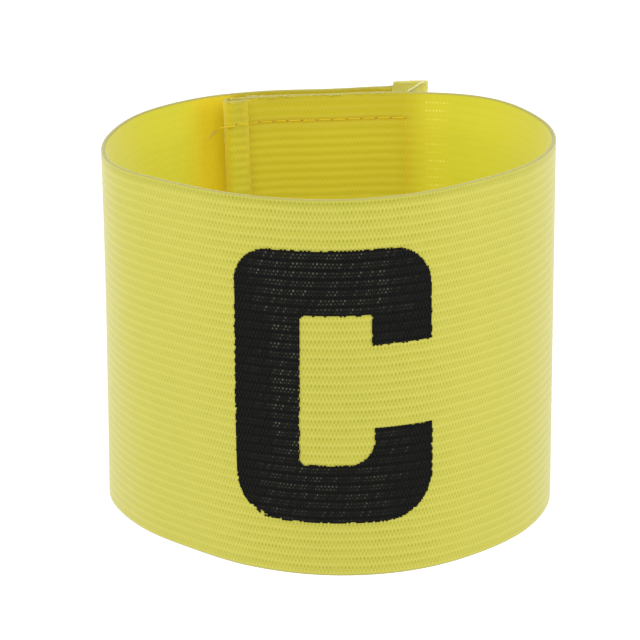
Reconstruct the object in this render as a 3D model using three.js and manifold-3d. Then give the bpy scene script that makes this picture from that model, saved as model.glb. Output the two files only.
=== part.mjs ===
// Elastic armband with a printed captain's letter, standing on its lower rim.
// A knitted elastic strip is wound into a ring, and its two hemmed ends are pressed together at the
// back by a patch of hook tape and a patch of loop tape, which lie hidden between the two layers.
// Millimetres, +Z up along the ring's axis, the letter faces -Y, and the origin is the middle of the
// footprint, on the surface that the armband stands on.
import * as THREE from 'three';
import { mergeVertices } from 'three/addons/utils/BufferGeometryUtils.js';
import Module from 'manifold-3d';

const wasm = await Module();
wasm.setup();

const DEGREE = Math.PI / 180;

// The knitted elastic
const STRIP_WIDTH = 75;      // stands upright, so it is the height of the ring
const WALL = 1.4;            // thickness of the elastic
const RIM_EASE = 0.3;        // how much of each rim's edges is rounded off
const CLEARANCE = 0.3;       // air between pieces that lie on each other
const FOLD_SLIT = 0.3;       // air inside a folded hem

// The plan of the ring, seen from above: how far its outer face stands from the axis at the upper
// and the lower rim. Angle 0 is the front, 90 the side on the right of someone who faces the letter.
const PLAN = [
  { angle: 0, top: 40.8, bottom: 39.4 },
  { angle: 22.5, top: 39.8, bottom: 40.3 },
  { angle: 45, top: 39.3, bottom: 41.2 },
  { angle: 67.5, top: 41.7, bottom: 43.4 },
  { angle: 90, top: 44.0, bottom: 45.2 },
  { angle: 112.5, top: 45.4, bottom: 45.1 },
  { angle: 135, top: 45.9, bottom: 44.2 },
  { angle: 157.5, top: 39.9, bottom: 38.1 },
  { angle: 180, top: 35.3, bottom: 34.2 },
  { angle: 202.5, top: 36.2, bottom: 36.4 },
  { angle: 225, top: 38.7, bottom: 40.5 },
  { angle: 247.5, top: 42.3, bottom: 44.7 },
  { angle: 270, top: 44.1, bottom: 45.2 },
  { angle: 292.5, top: 44.8, bottom: 41.8 },
  { angle: 315, top: 41.6, bottom: 38.5 },
  { angle: 337.5, top: 40.9, bottom: 38.5 },
];

// The closure. The strip's first end is the inner layer. From there it runs round the back, the
// right side, the front and the left side, climbs onto itself and ends as the outer layer.
const BACK = 180;            // angle of the middle of the back, from which both ends are measured
const INNER_END_REACH = 23.8;  // from there along the ring to the first end's fold
const INNER_FLAP = 6.0;      // length of the hem turned in at the first end
const OUTER_END_REACH = 20.0;  // from there the other way to the second end's fold
const OUTER_FLAP = 8.0;      // length of the hem turned in at the second end
const OUTER_FLAP_RISE = 1.7; // that hem is folded a little askew and stands above the rim
const CLIMB_START = -95;     // angle where the strip leaves the round of the first turn
const CLIMB_END = -147;      // angle where it lies on the first layer
const END_LEAN = 5.0;        // degrees that the first end leans towards the back on its way down
const HEM_RISE = 0.6;        // how far the second hem lifts the outer layer
const HEM_RISE_RUN = 12;     // degrees over which it does so

// The hook and loop patches between the layers
const TAPE_HEIGHT = 67;
const HOOK_TAPE_WIDTH = 38;
const HOOK_TAPE_THICKNESS = 0.8;
const HOOK_TAPE_INSET = 4.0; // from the first end's fold to the patch
const LOOP_TAPE_WIDTH = 34;
const LOOP_TAPE_THICKNESS = 1.0;
const LAYER_STEP = WALL + HOOK_TAPE_THICKNESS + LOOP_TAPE_THICKNESS + 3 * CLEARANCE;

// The printed letter, a block C, laid flat: along the strip and up from the lower rim
const LETTER = {
  left: -17.9, right: 19.3, bottom: 11.4, top: 65.4,
  stem: 12.5,                // width of the upright
  topBar: 12.6,
  bottomBar: 11.5,
  upperHook: 5.9,            // how far the upper terminal hangs below its bar
  lowerHook: 7.3,            // how far the lower terminal stands above its bar
  upperTerminal: 11.8,       // width of the terminals
  lowerTerminal: 11.2,
  roundTopLeft: 7.0, roundTopRight: 8.5, roundBottomLeft: 9.5, roundBottomRight: 10.0,
  roundTerminal: 1.4,        // the upper terminal's free corner
  roundInner: 1.0,           // the counter's corners
  roundHeel: 3.4,            // the counter's corner beside the lower terminal
};
const INK_THICKNESS = 0.35;

// How finely the curved pieces are cut into flat facets
const RUN_STEP = 3.0;        // degrees along the strip
const FOLD_STEPS = 6;        // facets round a hem's fold
const LEVELS = 3;            // flat bands of facets between the two rims

function planRadius(angle, rim) {
  const place = ((angle / 360) * PLAN.length % PLAN.length + PLAN.length) % PLAN.length;
  const first = Math.floor(place);
  const t = place - first;
  const radius = (k) => PLAN[(first + k + PLAN.length) % PLAN.length][rim];
  const [a, b, c, d] = [radius(-1), radius(0), radius(1), radius(2)];
  return 0.5 * (2 * b + (c - a) * t + (2 * a - 5 * b + 4 * c - d) * t * t
    + (3 * b - a - 3 * c + d) * t * t * t);
}

// A point of the first turn's outer face. The level is 0 at the lower rim and 1 at the upper one.
function outline(angle, level) {
  const radius = THREE.MathUtils.lerp(planRadius(angle, 'bottom'), planRadius(angle, 'top'), level);
  return new THREE.Vector2(radius * Math.sin(angle * DEGREE), -radius * Math.cos(angle * DEGREE));
}

function tangentAt(angle, level) {
  return outline(angle + 0.5, level).sub(outline(angle - 0.5, level)).normalize();
}

// A point that stands so far outside that face, and so far further along it
function besideOutline(angle, level, outward, forward = 0) {
  const tangent = tangentAt(angle, level);
  const normal = new THREE.Vector2(tangent.y, -tangent.x);
  return outline(angle, level).addScaledVector(normal, outward).addScaledVector(tangent, forward);
}

// The angle reached from another one by following the face at half height for some millimetres
function angleAfter(start, distance) {
  const pieces = Math.max(1, Math.ceil(Math.abs(distance)));
  let angle = start;
  for (let i = 0; i < pieces; i += 1) {
    const speed = outline(angle + 0.5, 0.5).distanceTo(outline(angle - 0.5, 0.5));
    angle += distance / pieces / speed;
  }
  return angle;
}

const INNER_END = angleAfter(BACK, INNER_END_REACH);
const OUTER_END = angleAfter(BACK, -OUTER_END_REACH) - 360;   // one turn further on

// How far the strip stands outside the first turn
function liftAt(angle) {
  const climb = THREE.MathUtils.smoothstep(-angle, -CLIMB_START, -CLIMB_END);
  const hemEdge = angleAfter(OUTER_END, OUTER_FLAP);
  const hem = THREE.MathUtils.smoothstep(-angle, -hemEdge - HEM_RISE_RUN, -hemEdge);
  return LAYER_STEP * climb + HEM_RISE * hem;
}

// The first end leans forward on its way down, and what lies on it leans with it
function leanAt(angle, level) {
  const share = THREE.MathUtils.smoothstep(angle, 120, 165);
  return -END_LEAN * share * (1 - level);
}

function steps(from, to, stepSize) {
  const count = Math.max(1, Math.round(Math.abs(to - from) / stepSize));
  return Array.from({ length: count + 1 }, (_, i) => from + (to - from) * i / count);
}

// Joins a row of equal closed sections into one closed skin, with a fan of triangles on each end.
function skinThrough(sections) {
  const size = sections[0].length;
  const positions = sections.flat().flatMap((p) => [p.x, p.y, p.z]);
  const indices = [];
  for (let i = 0; i + 1 < sections.length; i += 1) {
    for (let j = 0; j < size; j += 1) {
      const a = i * size + j;
      const b = i * size + (j + 1) % size;
      indices.push(a, b, b + size, a, b + size, a + size);
    }
  }
  const last = (sections.length - 1) * size;
  for (let j = 1; j + 1 < size; j += 1) {
    indices.push(0, j + 1, j);
    indices.push(last, last + j, last + j + 1);
  }
  const geometry = new THREE.BufferGeometry();
  geometry.setAttribute('position', new THREE.Float32BufferAttribute(positions, 3));
  geometry.setIndex(indices);
  return geometry;
}

// The outline of the strip's cut end: how far through the wall, 0 at the back, and how high
function wallSection() {
  const heights = steps(RIM_EASE, STRIP_WIDTH - RIM_EASE, (STRIP_WIDTH - 2 * RIM_EASE) / LEVELS);
  const face = heights.map((height) => ({ depth: WALL, height }));
  const back = [...heights].reverse().map((height) => ({ depth: 0, height }));
  return [
    ...face,
    { depth: WALL - RIM_EASE, height: STRIP_WIDTH },
    { depth: RIM_EASE, height: STRIP_WIDTH },
    ...back,
    { depth: RIM_EASE, height: 0 },
    { depth: WALL - RIM_EASE, height: 0 },
  ];
}

// One cut through the strip. The fold is 0 on the run and 180 where the hem's flap lies against it;
// the side tells which way the fold bulges, and the rise how far the flap stands above the rim.
function stripSection({ angle, fold, side, rise = 0 }) {
  const turn = fold * DEGREE;
  return wallSection().map(({ depth, height }) => {
    const level = height / STRIP_WIDTH;
    const reach = FOLD_SLIT / 2 + depth;
    const outward = liftAt(angle) - WALL - FOLD_SLIT / 2 + reach * Math.cos(turn);
    const forward = side * reach * Math.sin(turn);
    const point = besideOutline(angle + leanAt(angle, level), level, outward, forward);
    return new THREE.Vector3(point.x, point.y, height + rise * fold / 180);
  });
}

function elasticBand() {
  const foldReach = WALL + FOLD_SLIT / 2;
  const innerFold = angleAfter(INNER_END, -foldReach);
  const innerRaw = angleAfter(INNER_END, -INNER_FLAP);
  const outerFold = angleAfter(OUTER_END, foldReach);
  const outerRaw = angleAfter(OUTER_END, OUTER_FLAP);
  const folds = steps(0, 180, 180 / FOLD_STEPS).slice(1, -1);
  const rise = OUTER_FLAP_RISE;
  const cuts = [
    ...steps(innerRaw, innerFold, RUN_STEP).map((angle) => ({ angle, fold: 180, side: 1 })),
    ...[...folds].reverse().map((fold) => ({ angle: innerFold, fold, side: 1 })),
    ...steps(innerFold, outerFold, RUN_STEP).map((angle) => ({ angle, fold: 0, side: 1 })),
    ...folds.map((fold) => ({ angle: outerFold, fold, side: -1, rise })),
    ...steps(outerFold, outerRaw, RUN_STEP).map((angle) => ({ angle, fold: 180, side: -1, rise })),
  ];
  return skinThrough(cuts.map(stripSection));
}

// A flat patch bent round the ring: its inner and outer faces, its two upright edges and its rims
function bentPatch({ from, to, inner, outer, bottom, top }) {
  const heights = steps(bottom, top, (top - bottom) / LEVELS);
  const corners = [
    ...heights.map((height) => ({ height, face: outer })),
    ...[...heights].reverse().map((height) => ({ height, face: inner })),
  ];
  const sections = steps(from, to, RUN_STEP).map((angle) => corners.map(({ height, face }) => {
    const level = height / STRIP_WIDTH;
    const point = besideOutline(angle + leanAt(angle, level), level, face(angle));
    return new THREE.Vector3(point.x, point.y, height);
  }));
  return skinThrough(sections);
}

function hookTape() {
  const edge = angleAfter(INNER_END, -HOOK_TAPE_INSET);
  return bentPatch({
    from: edge,
    to: angleAfter(edge, -HOOK_TAPE_WIDTH),
    inner: () => CLEARANCE,
    outer: () => CLEARANCE + HOOK_TAPE_THICKNESS,
    bottom: (STRIP_WIDTH - TAPE_HEIGHT) / 2,
    top: (STRIP_WIDTH + TAPE_HEIGHT) / 2,
  });
}

function loopTape() {
  const edge = angleAfter(OUTER_END, OUTER_FLAP + CLEARANCE);
  return bentPatch({
    from: angleAfter(edge, LOOP_TAPE_WIDTH),
    to: edge,
    inner: (angle) => liftAt(angle) - WALL - CLEARANCE - LOOP_TAPE_THICKNESS,
    outer: (angle) => liftAt(angle) - WALL - CLEARANCE,
    bottom: (STRIP_WIDTH - TAPE_HEIGHT) / 2,
    top: (STRIP_WIDTH + TAPE_HEIGHT) / 2,
  });
}

// The letter's outline as it was before the strip was bent: straight runs and round corners
function letterShape() {
  const c = LETTER;
  const counterLeft = c.left + c.stem;
  const upperLeft = c.right - c.upperTerminal;
  const lowerLeft = c.right - c.lowerTerminal;
  const counterTop = c.top - c.topBar;
  const counterBottom = c.bottom + c.bottomBar;
  const shape = new THREE.Shape();
  // a round corner: where the sharp one would be, its radius, the side its centre is on and its turn
  const round = (x, y, radius, inwardX, inwardY, from, to, clockwise = false) => {
    const centreX = x + inwardX * radius;
    const centreY = y + inwardY * radius;
    shape.absarc(centreX, centreY, radius, from * DEGREE, to * DEGREE, clockwise);
  };
  const hookTop = counterTop - c.upperHook;
  const heelTop = counterBottom + c.lowerHook;
  shape.moveTo(upperLeft, hookTop);
  shape.lineTo(c.right - c.roundTerminal, hookTop);
  round(c.right, hookTop, c.roundTerminal, -1, 1, -90, 0);
  round(c.right, c.top, c.roundTopRight, -1, -1, 0, 90);
  round(c.left, c.top, c.roundTopLeft, 1, -1, 90, 180);
  round(c.left, c.bottom, c.roundBottomLeft, 1, 1, 180, 270);
  round(c.right, c.bottom, c.roundBottomRight, -1, 1, 270, 360);
  shape.lineTo(c.right, heelTop);
  shape.lineTo(lowerLeft, heelTop);
  round(lowerLeft, counterBottom, c.roundHeel, -1, 1, 0, -90, true);
  round(counterLeft, counterBottom, c.roundInner, 1, 1, -90, -180, true);
  round(counterLeft, counterTop, c.roundInner, 1, -1, 180, 90, true);
  shape.lineTo(upperLeft, counterTop);
  shape.closePath();
  return shape;
}

function toManifold(geometry) {
  const bare = geometry.clone();
  bare.deleteAttribute('normal');
  bare.deleteAttribute('uv');
  const merged = mergeVertices(bare, 1e-4);
  return new wasm.Manifold(new wasm.Mesh({
    numProp: 3,
    vertProperties: new Float32Array(merged.attributes.position.array),
    triVerts: new Uint32Array(merged.index.array),
  }));
}

function fromManifold(solid) {
  const mesh = solid.getMesh();
  const geometry = new THREE.BufferGeometry();
  geometry.setAttribute('position', new THREE.BufferAttribute(mesh.vertProperties, 3));
  geometry.setIndex(new THREE.BufferAttribute(mesh.triVerts, 1));
  return geometry;
}

// The print: a thin bent sheet over the front, out of which the letter's outline is cut
function printedLetter() {
  const margin = 2;
  const sheet = bentPatch({
    from: angleAfter(0, LETTER.right + margin),
    to: angleAfter(0, LETTER.left - margin),
    inner: () => CLEARANCE,
    outer: () => CLEARANCE + INK_THICKNESS,
    bottom: LETTER.bottom - margin,
    top: LETTER.top + margin,
  });
  const bentOutline = letterShape().getPoints(5).map((p) => {
    const level = p.y / STRIP_WIDTH;
    return new THREE.Vector2(besideOutline(angleAfter(0, p.x), level, CLEARANCE).x, p.y);
  });
  const depth = 30;
  const cutter = new THREE.ExtrudeGeometry(new THREE.Shape(bentOutline), { depth, bevelEnabled: false });
  cutter.rotateX(Math.PI / 2);
  cutter.translate(0, -depth / 2, 0);
  return fromManifold(toManifold(sheet).intersect(toManifold(cutter)));
}

function paint(color, roughness) {
  return new THREE.MeshStandardMaterial({ color, roughness, metalness: 0 });
}

function piece(name, geometry, material) {
  const mesh = new THREE.Mesh(geometry, material);
  mesh.name = name;
  return mesh;
}

const armband = new THREE.Group();
armband.add(
  piece('elastic_band', elasticBand(), paint('#cdc552', 0.9)),
  piece('hook_tape', hookTape(), paint('#d6cf6a', 0.7)),
  piece('loop_tape', loopTape(), paint('#cfc560', 0.95)),
  piece('printed_letter', printedLetter(), paint('#1b1b1b', 0.75)),
);

export default armband;
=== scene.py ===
# %% [markdown]
# # A yellow elastic armband with a printed letter
# The real thing is one strip of ribbed knitted elastic, 75 mm wide. It is wound into a ring that
# stands on its lower rim, and its two hemmed ends are pressed together at the back by a patch of
# hook tape and a patch of loop tape. A block letter is printed on the front.
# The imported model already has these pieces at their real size. This lesson keeps its sizes and
# gives every piece the surface that the real one has: ribs, stitches, threads, hooks, pile and ink.

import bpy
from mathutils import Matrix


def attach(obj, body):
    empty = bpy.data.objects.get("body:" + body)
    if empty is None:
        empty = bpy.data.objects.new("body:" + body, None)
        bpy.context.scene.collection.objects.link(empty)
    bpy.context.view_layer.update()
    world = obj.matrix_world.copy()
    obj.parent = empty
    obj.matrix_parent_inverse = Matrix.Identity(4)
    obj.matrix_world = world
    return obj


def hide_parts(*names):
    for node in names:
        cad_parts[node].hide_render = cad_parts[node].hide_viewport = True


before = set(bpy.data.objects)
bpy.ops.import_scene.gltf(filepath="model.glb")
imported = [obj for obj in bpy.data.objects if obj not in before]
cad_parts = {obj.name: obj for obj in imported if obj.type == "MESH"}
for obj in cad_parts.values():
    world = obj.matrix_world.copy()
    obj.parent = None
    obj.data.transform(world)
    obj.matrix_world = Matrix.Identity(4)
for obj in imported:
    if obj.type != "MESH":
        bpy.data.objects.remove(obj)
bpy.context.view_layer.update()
print("packed nodes:", sorted(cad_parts))

# %% Tools and units
import math

import bpy
import numpy as np
from mathutils import Vector

MM = 0.001
TURN = 2 * math.pi

# %% [markdown]
# ## The camera
# The photograph was taken with a long lens from a little above. A long lens keeps the two rims
# nearly parallel, so the lens and the distance matter as much as the angle. The lens is worked out
# from how wide the view is in a square picture of 640 pixels. A constraint could keep the camera
# aimed at the ring. Here its place is worked out from one angle and one distance, so that either can
# be changed alone.

# %% Stand the camera
PICTURE_PIXELS = 640
FOCAL_PIXELS = 2442
SENSOR = 36.0
LOOKS_DOWN = math.radians(19.85)
LOOKS_AT = Vector((-2.0, -0.45, 37.65)) * MM
CAMERA_DISTANCE = 488 * MM

camera = bpy.data.objects.new("camera", bpy.data.cameras.new("camera"))
bpy.context.scene.collection.objects.link(camera)
camera.data.sensor_width = SENSOR
camera.data.lens = FOCAL_PIXELS * SENSOR / PICTURE_PIXELS
camera.data.clip_start = 10 * MM
camera.data.clip_end = 20.0
towards_camera = Vector((0, -math.cos(LOOKS_DOWN), math.sin(LOOKS_DOWN)))
camera.location = LOOKS_AT + towards_camera * CAMERA_DISTANCE
camera.rotation_euler = (math.pi / 2 - LOOKS_DOWN, 0, 0)
bpy.context.scene.camera = camera
print(f"lens {camera.data.lens:.1f} mm, camera at", tuple(round(x, 3) for x in camera.location))

# %% [markdown]
# ## The plan of the ring
# Seen from above the ring isn't a circle: it is wider than deep, and the lower rim is tucked in at
# the front. A short table gives the distance from the axis at sixteen angles for both rims, and a
# smooth curve runs through them. Angle 0 is the front, and 90 is the side on the right. The plan
# could also be a curve drawn over a picture, but a table keeps the two rims joined, because both are
# read at the same angles.

# %% Sizes of the strip and its plan, in millimetres
STRIP_WIDTH = 75.0
WALL = 1.4
CLEARANCE = 0.3
FOLD_SLIT = 0.12
PLAN = [
    dict(angle=0.0, top=40.8, bottom=39.4),
    dict(angle=22.5, top=39.8, bottom=40.3),
    dict(angle=45.0, top=39.3, bottom=41.2),
    dict(angle=67.5, top=41.7, bottom=43.4),
    dict(angle=90.0, top=44.0, bottom=45.2),
    dict(angle=112.5, top=45.4, bottom=45.1),
    dict(angle=135.0, top=45.9, bottom=44.2),
    dict(angle=157.5, top=39.9, bottom=38.1),
    dict(angle=180.0, top=35.3, bottom=34.2),
    dict(angle=202.5, top=36.2, bottom=36.4),
    dict(angle=225.0, top=38.7, bottom=40.5),
    dict(angle=247.5, top=42.3, bottom=44.7),
    dict(angle=270.0, top=44.1, bottom=45.2),
    dict(angle=292.5, top=44.8, bottom=41.8),
    dict(angle=315.0, top=41.6, bottom=38.5),
    dict(angle=337.5, top=40.9, bottom=38.5),
]

# %% Points on the ring
def smoothstep(value, low, high):
    t = np.clip((np.asarray(value, float) - low) / (high - low), 0, 1)
    return t * t * (3 - 2 * t)


def plan_radius(angle, rim):
    """Distance of the outer face from the axis at one rim, on a smooth curve through the table."""
    radii = np.array([row[rim] for row in PLAN])
    place = np.asarray(angle, float) / 360 * len(PLAN) % len(PLAN)
    first = np.floor(place).astype(int) % len(PLAN)
    t = place - np.floor(place)
    a, b, c, d = (radii[(first + k) % len(PLAN)] for k in (-1, 0, 1, 2))
    return 0.5 * (2 * b + (c - a) * t + (2 * a - 5 * b + 4 * c - d) * t**2 + (3 * b - a - 3 * c + d) * t**3)


def outline(angle, level):
    """A point of the first turn's outer face. The level is 0 at the lower rim and 1 at the upper."""
    bottom = plan_radius(angle, "bottom")
    radius = bottom + (plan_radius(angle, "top") - bottom) * level
    turned = np.radians(angle)
    return np.stack([radius * np.sin(turned), -radius * np.cos(turned)], -1)


def beside_outline(angle, level, outward, forward=0.0):
    """A point that stands so far outside that face, and so far further along it."""
    tangent = outline(angle + 0.5, level) - outline(angle - 0.5, level)
    tangent = tangent / np.linalg.norm(tangent, axis=-1, keepdims=True)
    normal = np.stack([tangent[..., 1], -tangent[..., 0]], -1)
    aside = normal * np.asarray(outward)[..., None]
    return outline(angle, level) + aside + tangent * np.asarray(forward)[..., None]


def angle_after(start, distance):
    """The angle reached from another by following the face at half height."""
    pieces = max(1, math.ceil(abs(distance)))
    angle = start
    for _ in range(pieces):
        speed = np.linalg.norm(outline(angle + 0.5, 0.5) - outline(angle - 0.5, 0.5))
        angle += distance / pieces / speed
    return angle


print(f"at the front the upper rim is {plan_radius(0.0, 'top'):.1f} mm from the axis")

# %% [markdown]
# ## Where the strip runs
# The first end is the inner layer at the back. From there the strip runs round the back, the right
# side, the front and the left side, climbs onto itself and ends as the outer layer. Both ends are
# folded over into a short hem. A closed ring with an end stuck on would look alike from the front,
# but the real one is a single piece of cloth. One run from end to end gives the climb, the overlap
# and both hems, and every stitch keeps its place along it.

# %% The two ends and the overlap
BACK = 180.0
INNER_END = angle_after(BACK, 23.3)
INNER_FLAP = 5.1
OUTER_END = angle_after(BACK, -20.0) - 360
OUTER_FLAP = 8.2
OUTER_FLAP_RISE = 1.85
OUTER_RAW_RISE = 1.50
OUTER_FOLD_RISE = 1.3
OUTER_RAW_LEAN = 1.7
CLIMB_START = -95.0
CLIMB_END = -147.0
END_LEAN = 5.0
LEAN_START, LEAN_FULL = 120, 165
HEM_RISE = 0.6
HEM_RISE_RUN = 12.0
HOOK_TAPE_THICKNESS = 0.8
LOOP_TAPE_THICKNESS = 1.0
LAYER_STEP = WALL + HOOK_TAPE_THICKNESS + LOOP_TAPE_THICKNESS + 3 * CLEARANCE
OUTER_HEM_EDGE = angle_after(OUTER_END, OUTER_FLAP)


def lift_at(angle):
    """How far the strip stands outside the first turn."""
    climb = smoothstep(-np.asarray(angle), -CLIMB_START, -CLIMB_END)
    hem = smoothstep(-np.asarray(angle), -OUTER_HEM_EDGE - HEM_RISE_RUN, -OUTER_HEM_EDGE)
    return LAYER_STEP * climb + HEM_RISE * hem


def lean_at(angle, level):
    """The first end leans towards the back on its way down, and what lies on it leans with it."""
    return -END_LEAN * smoothstep(angle, LEAN_START, LEAN_FULL) * (1 - np.asarray(level))


RUN_ANGLES = np.arange(-240.0, 240.01, 0.25)
run_points = beside_outline(RUN_ANGLES, 0.5, lift_at(RUN_ANGLES))
run_lengths = np.concatenate([[0], np.cumsum(np.linalg.norm(np.diff(run_points, axis=0), axis=1))])
run_lengths -= np.interp(0, RUN_ANGLES, run_lengths)


def run_at(angle):
    """How far along the strip an angle is, from the middle of the front."""
    return np.interp(angle, RUN_ANGLES, run_lengths)


def angle_at(run):
    return np.interp(run, run_lengths, RUN_ANGLES)


overlap = f"overlaps from {OUTER_END + 360:.0f} to {INNER_END:.0f} degrees"

# %% [markdown]
# ## The knit
# Ribbed elastic is knitted lengthwise. Along every furrow between two ribs the stitches leave a row
# of small holes, and on the crest of each rib lies a weaker row of holes half a stitch further on.
# The ribs are made as real relief, because they catch the light at the sides of the ring. The holes
# could be relief too, but there are tens of thousands of them, and each would need many points. So
# they come from the material, which uses the same two measures.

# %% Measures of the knit, in millimetres
# The patch is the stitched rectangle inside the ring. Its two ends are measured from the middle of
# the back, and the ribs draw together over it with a soft start and a soft end.
RIB_PITCH = 1.768
STITCH_PITCH = 0.718
ROWS_PER_RIB = 6
FACE_RELIEF = 0.017
FLAP_RELIEF = 0.030
BACK_RELIEF = 0.006
PATCH_RELIEF = 0.022
BACK_CREST = 0.80
RIM_WALL = 0.8
RIM_ROUND = 0.40
RIM_TAPER_RUN = 9.0
SEAM_INSET = 5.4
SEAM_DIP = 0.03
PATCH_SEAM_START = 18.0
PATCH_SEAM_END = -15.4
PATCH_FADE_IN = (-8.0, 1.0)
PATCH_FADE_OUT = (3.0, 6.0)
RIM_PLAIN, RIM_RIBBED = 0.3, 1.5
print(f"{STRIP_WIDTH / RIB_PITCH:.0f} ribs lie side by side on the strip")


def patch_share(angle):
    """1 where the strip's first end is stitched to its patch, where the ribs draw together."""
    start, end = angle_after(BACK, PATCH_SEAM_END), angle_after(BACK, PATCH_SEAM_START)
    begun = smoothstep(angle, start + PATCH_FADE_IN[0], start + PATCH_FADE_IN[1])
    return begun * (1 - smoothstep(angle, end + PATCH_FADE_OUT[0], end + PATCH_FADE_OUT[1]))


def rim_fade(height):
    """The ribs die out just below the rims."""
    edge = np.minimum(height, STRIP_WIDTH - height)
    return smoothstep(edge, RIM_PLAIN, RIM_RIBBED)


def rim_taper(angle, height):
    """The wall thins towards both rims, on its back, but not where an end is folded and doubled."""
    edge = np.minimum(height, STRIP_WIDTH - height)
    hem_start = angle_after(INNER_END, -INNER_FLAP - 2)
    inner_hem = smoothstep(angle, hem_start, angle_after(INNER_END, -INNER_FLAP))
    outer_hem = smoothstep(-np.asarray(angle), -OUTER_HEM_EDGE - 2, -OUTER_HEM_EDGE)
    thinned = (WALL - RIM_WALL) * (1 - smoothstep(edge, RIM_ROUND, RIM_TAPER_RUN))
    return thinned * (1 - inner_hem) * (1 - outer_hem)


def face_relief(height):
    return -FACE_RELIEF * np.cos(TURN * height / RIB_PITCH) * rim_fade(height)


def back_relief(angle, height):
    strength = BACK_RELIEF + (PATCH_RELIEF - BACK_RELIEF) * patch_share(angle)
    return strength * np.cos(TURN * (height / RIB_PITCH - BACK_CREST)) * rim_fade(height)


# %% [markdown]
# ## The band's mesh
# The strip is swept through cuts a few millimetres apart. Each cut is the outline of the strip's
# cut end: up the face, round the upper rim, down the back and round the lower rim. At a hem the cut
# turns over by half a turn. Every point keeps its place on the strip in a map named knit, in metres
# along and up, so the material can draw stitches that follow the cloth wherever it goes. A flat grid
# with bend and solidify modifiers could be used too, but a hem that turns back on itself by half a
# turn, with a thin slit left in it, is easier to say cut by cut.

# %% A helper that makes a mesh from arrays
def make_piece(name, points, faces, smooth=True):
    """Points are in millimetres. Faces are rows of four corners, or of three."""
    mesh = bpy.data.meshes.new(name)
    points = np.asarray(points, float).reshape(-1, 3) * MM
    faces = np.asarray(faces, np.int32)
    mesh.vertices.add(len(points))
    mesh.vertices.foreach_set("co", points.astype(np.float32).ravel())
    mesh.loops.add(faces.size)
    mesh.loops.foreach_set("vertex_index", faces.ravel())
    mesh.polygons.add(len(faces))
    mesh.polygons.foreach_set("loop_start", np.arange(0, faces.size, faces.shape[1], dtype=np.int32))
    mesh.update(calc_edges=True)
    mesh.validate()
    mesh.polygons.foreach_set("use_smooth", np.full(len(mesh.polygons), smooth))
    piece = bpy.data.objects.new(name, mesh)
    bpy.context.scene.collection.objects.link(piece)
    print(f"{name}: {len(points)} points, {len(faces)} faces")
    return piece


def add_map(piece, name, corner_places):
    """A UV map from one place for each corner of each face."""
    layer = piece.data.uv_layers.new(name=name, do_init=False)
    layer.uv.foreach_set("vector", np.asarray(corner_places, np.float32).ravel())


def add_numbers(piece, name, values):
    layer = piece.data.attributes.new(name, "FLOAT", "POINT")
    layer.data.foreach_set("value", np.asarray(values, np.float32).ravel())


# %% The outline of one cut
row_step = RIB_PITCH / ROWS_PER_RIB
lowest_row = math.ceil(RIM_ROUND / row_step)
highest_row = math.floor((STRIP_WIDTH - RIM_ROUND) / row_step)
row_heights = np.arange(lowest_row, highest_row + 1) * row_step
RIM_POINTS = 7


def rim_arc(upper):
    """Depth and height of the points round one rim, from the face to the back."""
    turn = np.linspace(0, math.pi, RIM_POINTS + 2)[1:-1]
    depth = WALL - RIM_WALL / 2 + RIM_WALL / 2 * np.sign(np.cos(turn)) * np.abs(np.cos(turn)) ** 0.6
    rise = RIM_ROUND * np.sin(turn) ** 0.8
    height = STRIP_WIDTH - RIM_ROUND + rise if upper else RIM_ROUND - rise
    return depth, height


top_depth, top_height = rim_arc(True)
low_depth, low_height = rim_arc(False)
face_depth, back_depth = np.full(len(row_heights), WALL), np.zeros(len(row_heights))
cut_depth = np.concatenate([face_depth, top_depth, back_depth, low_depth[::-1]])
cut_height = np.concatenate([row_heights, top_height, row_heights[::-1], low_height[::-1]])
on_face = np.zeros(len(cut_depth))
on_face[: len(row_heights)] = 1
on_back = np.zeros(len(cut_depth))
on_back[len(row_heights) + RIM_POINTS : 2 * len(row_heights) + RIM_POINTS] = 1
print(f"{len(cut_depth)} points round one cut")

# %% The cuts along the strip
STATION_STEP = 3.0
FOLD_TURNS = np.arange(20.0, 180.0, 20.0)
inner_fold = angle_after(INNER_END, -(WALL + FOLD_SLIT / 2))
inner_raw = angle_after(INNER_END, -INNER_FLAP)
outer_fold = angle_after(OUTER_END, WALL + FOLD_SLIT / 2)
fold_girth = math.pi * (WALL + FOLD_SLIT) / 2


def spread(start, stop, step):
    return np.linspace(start, stop, max(1, round(abs(stop - start) / step)) + 1)


def outer_rise(angle):
    """The outer end is pushed up a little, most at its fold."""
    return smoothstep(-np.asarray(angle), -OUTER_HEM_EDGE, -outer_fold)


cuts = []
for angle in spread(inner_raw, inner_fold, STATION_STEP):
    along = run_at(inner_fold) + fold_girth + run_at(inner_fold) - run_at(angle)
    cuts.append((angle, 180.0, 1.0, 0.0, along))
for fold in FOLD_TURNS[::-1]:
    cuts.append((inner_fold, fold, 1.0, 0.0, run_at(inner_fold) + fold_girth * fold / 180))
for angle in spread(inner_fold, OUTER_HEM_EDGE, STATION_STEP):
    cuts.append((angle, 0.0, 1.0, 0.0, run_at(angle)))
for angle in spread(OUTER_HEM_EDGE, outer_fold, STATION_STEP)[1:]:
    cuts.append((angle, 0.0, 1.0, OUTER_FOLD_RISE * outer_rise(angle), run_at(angle)))
for fold in FOLD_TURNS:
    rise = OUTER_FOLD_RISE + (OUTER_FLAP_RISE - OUTER_FOLD_RISE) * fold / 180
    cuts.append((outer_fold, fold, -1.0, rise, run_at(outer_fold) - fold_girth * fold / 180))
for angle in spread(outer_fold, OUTER_HEM_EDGE, STATION_STEP):
    along = run_at(outer_fold) - fold_girth - (run_at(angle) - run_at(outer_fold))
    rise = OUTER_RAW_RISE + (OUTER_FLAP_RISE - OUTER_RAW_RISE) * outer_rise(angle)
    cuts.append((angle, 180.0, -1.0, rise, along))
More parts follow.
